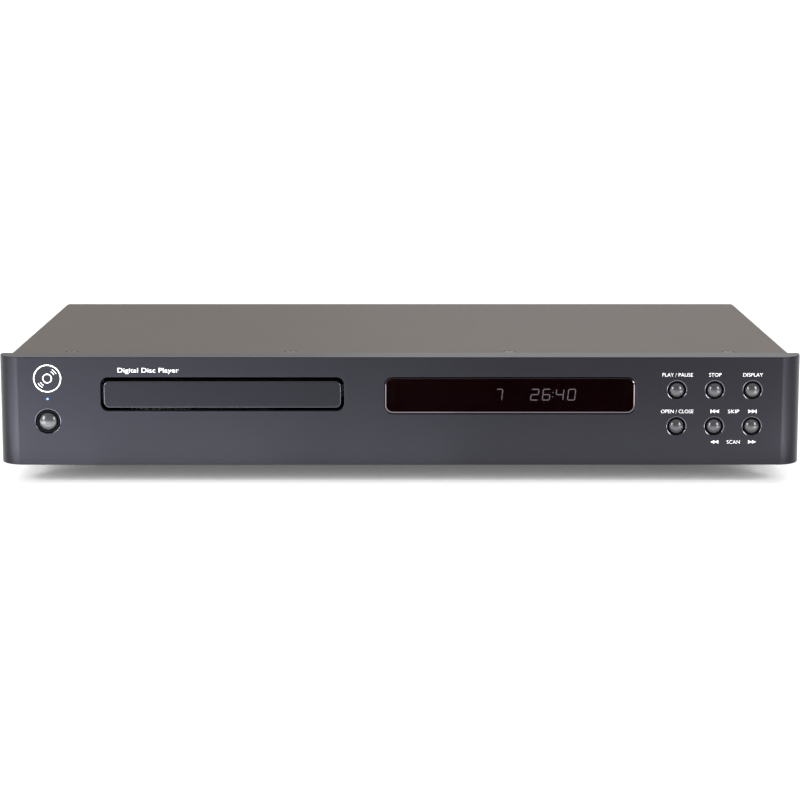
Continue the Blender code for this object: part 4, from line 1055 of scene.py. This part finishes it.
def rack_shape(centre_x):
    """The rack under the tray's left side, with the same teeth as the frame's."""
    module = 1.0
    pitch = math.pi * module
    gear = middle("drive_gear")
    pitch_x, back_x = centre_x - 53, centre_x - 57
    half = pitch / 4 * 0.87
    lean = math.tan(math.radians(20)) * module
    tip, root = pitch_x + 0.85 * module, pitch_x - 1.2 * module
    first_gap = gear.y - 3 * pitch
    start = first_gap - pitch / 2
    points = [(back_x, start - pitch / 2), (root, start - pitch / 2)]
    for tooth in range(50):
        y = start + tooth * pitch
        points += [
            (root, y - half - 1.2 * lean),
            (tip, y - half + 0.85 * lean),
            (tip, y + half - 0.85 * lean),
            (root, y + half + 1.2 * lean),
        ]
    end = start + 49.5 * pitch
    points += [(root, end), (back_x, end)]
    return loft([on_z(points, 42.8), on_z(points, 47.5)])


# ---------------------------------------------------------------- carried-over nodes


CARRIED = {
    "bottom_chassis": STEEL_CHASSIS,
    "front_plate": STEEL_CHASSIS,
    "front_board": BOARD,
    "power_key_board": BOARD,
    "main_board": BOARD,
    "supply_board": BOARD,
    "transformer": LAMINATION,
    "front_ribbon": RIBBON,
    "pickup_ribbon": RIBBON,
    "inlet_wire": WIRE,
    "loader_frame": BLACK,
    "clamp_bridge": ZINC,
    "clamper": WHITE,
    "loading_motor": ZINC,
    "drive_belt": RUBBER,
    "motor_pulley": WHITE,
    "pulley_gear": WHITE,
    "drive_gear": WHITE,
    "cam_slider": WHITE,
    "traverse_frame": GREY,
    "spindle_motor": ZINC,
    "guide_rod_left": CHROME,
    "guide_rod_right": CHROME,
    "sled_motor": ZINC,
    "sled_motor_pinion": WHITE,
    "sled_gear": WHITE,
    "pickup_sled": ZINC,
    "pickup_lens": BLACK,
    "turntable": BLACK,
}


def give_materials():
    """Every CAD node gets a finish. Those that a finer piece stands for get plain black."""
    for name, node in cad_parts.items():
        material = CARRIED.get(name, BLACK)
        for slot in node.material_slots:
            slot.material = material


def finish_boards():
    """What stands on the two flat boards is black, and the posts under them are bright."""
    to_top, sheet = 9.3, 1.8
    for name in ("main_board", "supply_board"):
        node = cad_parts[name]
        node.data.materials.append(BLACK)
        node.data.materials.append(NICKEL)
        top = box(name)[0].z + to_top
        for face in node.data.polygons:
            z = (node.matrix_world @ face.center).z / MM
            if z > top + 0.05:
                face.material_index = 1
            elif z < top - sheet:
                face.material_index = 2


# ---------------------------------------------------------------- stage


def make_stage():
    """A white table without an edge, that gives a little light of its own."""
    shape = bmesh.new()
    bmesh.ops.create_grid(shape, x_segments=1, y_segments=1, size=20000)
    floor = raw("floor", shape)
    n = Nodes("floor_white")
    n.paint(n.ramp(n.noise(3, 2), 0, 1), (0.87, 0.87, 0.87), (0.89, 0.89, 0.89))
    n.give(Roughness=0.9, Specular_IOR_Level=0.1, Emission_Color=(1, 1, 1, 1), Emission_Strength=0.13)
    floor.data.materials.append(n.material)


def make_world():
    """A studio that is bright low down behind the player and dim in front of it and above."""
    world = bpy.data.worlds.new("studio")
    SCENE.world = world
    world.use_nodes = True
    tree = world.node_tree
    direction = tree.nodes.new("ShaderNodeTexCoord")
    parts = tree.nodes.new("ShaderNodeSeparateXYZ")
    tree.links.new(direction.outputs["Generated"], parts.inputs["Vector"])

    def share(axis, start, end, low, high):
        node = tree.nodes.new("ShaderNodeMapRange")
        node.interpolation_type = "SMOOTHSTEP"
        values = {"From Min": start, "From Max": end, "To Min": low, "To Max": high}
        for key, value in values.items():
            node.inputs[key].default_value = value
        tree.links.new(parts.outputs[axis], node.inputs["Value"])
        return node.outputs["Result"]

    glow = tree.nodes.new("ShaderNodeMath")
    glow.operation = "MULTIPLY_ADD"
    tree.links.new(share("Y", 0.1, 0.97, 0.0, 1.0), glow.inputs[0])
    tree.links.new(share("Z", 0.01, 0.22, 1.0, 0.35), glow.inputs[1])
    glow.inputs[2].default_value = 0.12
    background = tree.nodes["Background"]
    background.inputs["Color"].default_value = (1, 1, 1, 1)
    tree.links.new(glow.outputs["Value"], background.inputs["Strength"])


def softbox(name, place, target, size, power, tint=(1, 1, 1)):
    data = bpy.data.lights.new(name, "AREA")
    data.shape = "RECTANGLE"
    data.size, data.size_y = size
    data.energy = power
    data.color = tint
    obj = bpy.data.objects.new(name, data)
    obj.location = place
    obj.rotation_euler = (Vector(target) - Vector(place)).to_track_quat("-Z", "Y").to_euler()
    SCENE.collection.objects.link(obj)
    return obj


def make_lights():
    """A wide overhead light, lit parts of the table, and soft boxes at the sides and behind."""
    sun = bpy.data.lights.new("overhead", "SUN")
    sun.energy = 2.6
    sun.angle = math.radians(100)
    obj = bpy.data.objects.new("overhead", sun)
    obj.rotation_euler = Vector((0.1, -0.25, -1)).to_track_quat("-Z", "Y").to_euler()
    SCENE.collection.objects.link(obj)
    # Each strip ends further to the right than the last, so that the reflection fades from left to right.
    # Each lies higher too, since two lights at one height would hide each other.
    near, far, left = -0.14, -0.60, -0.55
    cool = (0.93, 1.0, 1.04)
    for i in range(4):
        right = -0.27 + 0.1 * i
        place = ((left + right) / 2, (near + far) / 2, 0.001 + 0.001 * i)
        table_glow(f"table_glow_{i + 1}", place, (right - left, near - far), 1.6, tint=cool)
    table_glow("table_glow_near", (0, -0.20, 0.006), (0.8, 0.12), 2.4)
    table_glow("table_glow_middle", (0, -0.26, 0.007), (0.8, 0.24), 1.0)
    for name, side in (("corner_glow_left", -1), ("corner_glow_right", 1)):
        table_glow(name, (side * 0.352, -0.322, 0.008), (0.05, 0.4), 11, side * 36)
    for name, side, power in (("left_light", -1, 38), ("right_light", 1, 34)):
        softbox(name, (side * 1.30, -1.15, 0.60), (side * 0.2, -0.1, 0.05), (0.42, 0.75), power)
    softbox("back_light", (0.45, 1.9, 0.75), (0.05, 0.0, 0.07), (1.1, 0.5), 1.2)


def table_glow(name, place, size, radiance, turn=0, tint=(1, 1, 1)):
    """A lit part of the table in front of the player, which the panel reflects and the camera doesn't see."""
    glow = softbox(name, place, (0, 0, 1), size, math.pi * radiance * size[0] * size[1], tint)
    glow.rotation_euler = (math.pi, 0, math.radians(turn))
    glow.visible_camera = False


def make_camera():
    """The photograph's viewpoint, looking down a little from in front."""
    distance, height, down = 1.25734, 0.25307, 9.3224
    data = bpy.data.cameras.new("camera")
    data.sensor_width = 36.0
    data.lens = 106.113
    obj = bpy.data.objects.new("camera", data)
    obj.location = (0.0, FACE * MM - distance, height)
    obj.rotation_euler = (math.radians(90 - down), 0, 0)
    SCENE.collection.objects.link(obj)
    SCENE.camera = obj


def main():
    SCENE.view_settings.view_transform = "Standard"
    give_materials()
    finish_boards()
    make_camera()
    make_stage()
    make_world()
    make_lights()
    make_panel()
    make_cover()
    for node in COVER_SCREWS:
        make_screw(node)
    for node in FEET:
        make_foot(node)
    make_tray_front()
    make_window()
    make_display()
    for node in BUTTONS + ("power_button",):
        make_button(node)
    make_guide("key_guide", [xz(middle(name)) for name in BUTTONS], 4.55, 4.0)
    make_guide("power_guide", [xz(middle("power_button"))], 6.3, 4.95)
    make_lamp()
    make_labels()
    make_signs()
    make_title()
    make_disc_sign()
    make_rear_panel()
    for node, colour in (("line_out_left", WHITE), ("line_out_right", RED), ("coaxial_out", ORANGE)):
        make_jack(node, colour)
    make_optical()
    make_inlet()
    make_tray()


main()
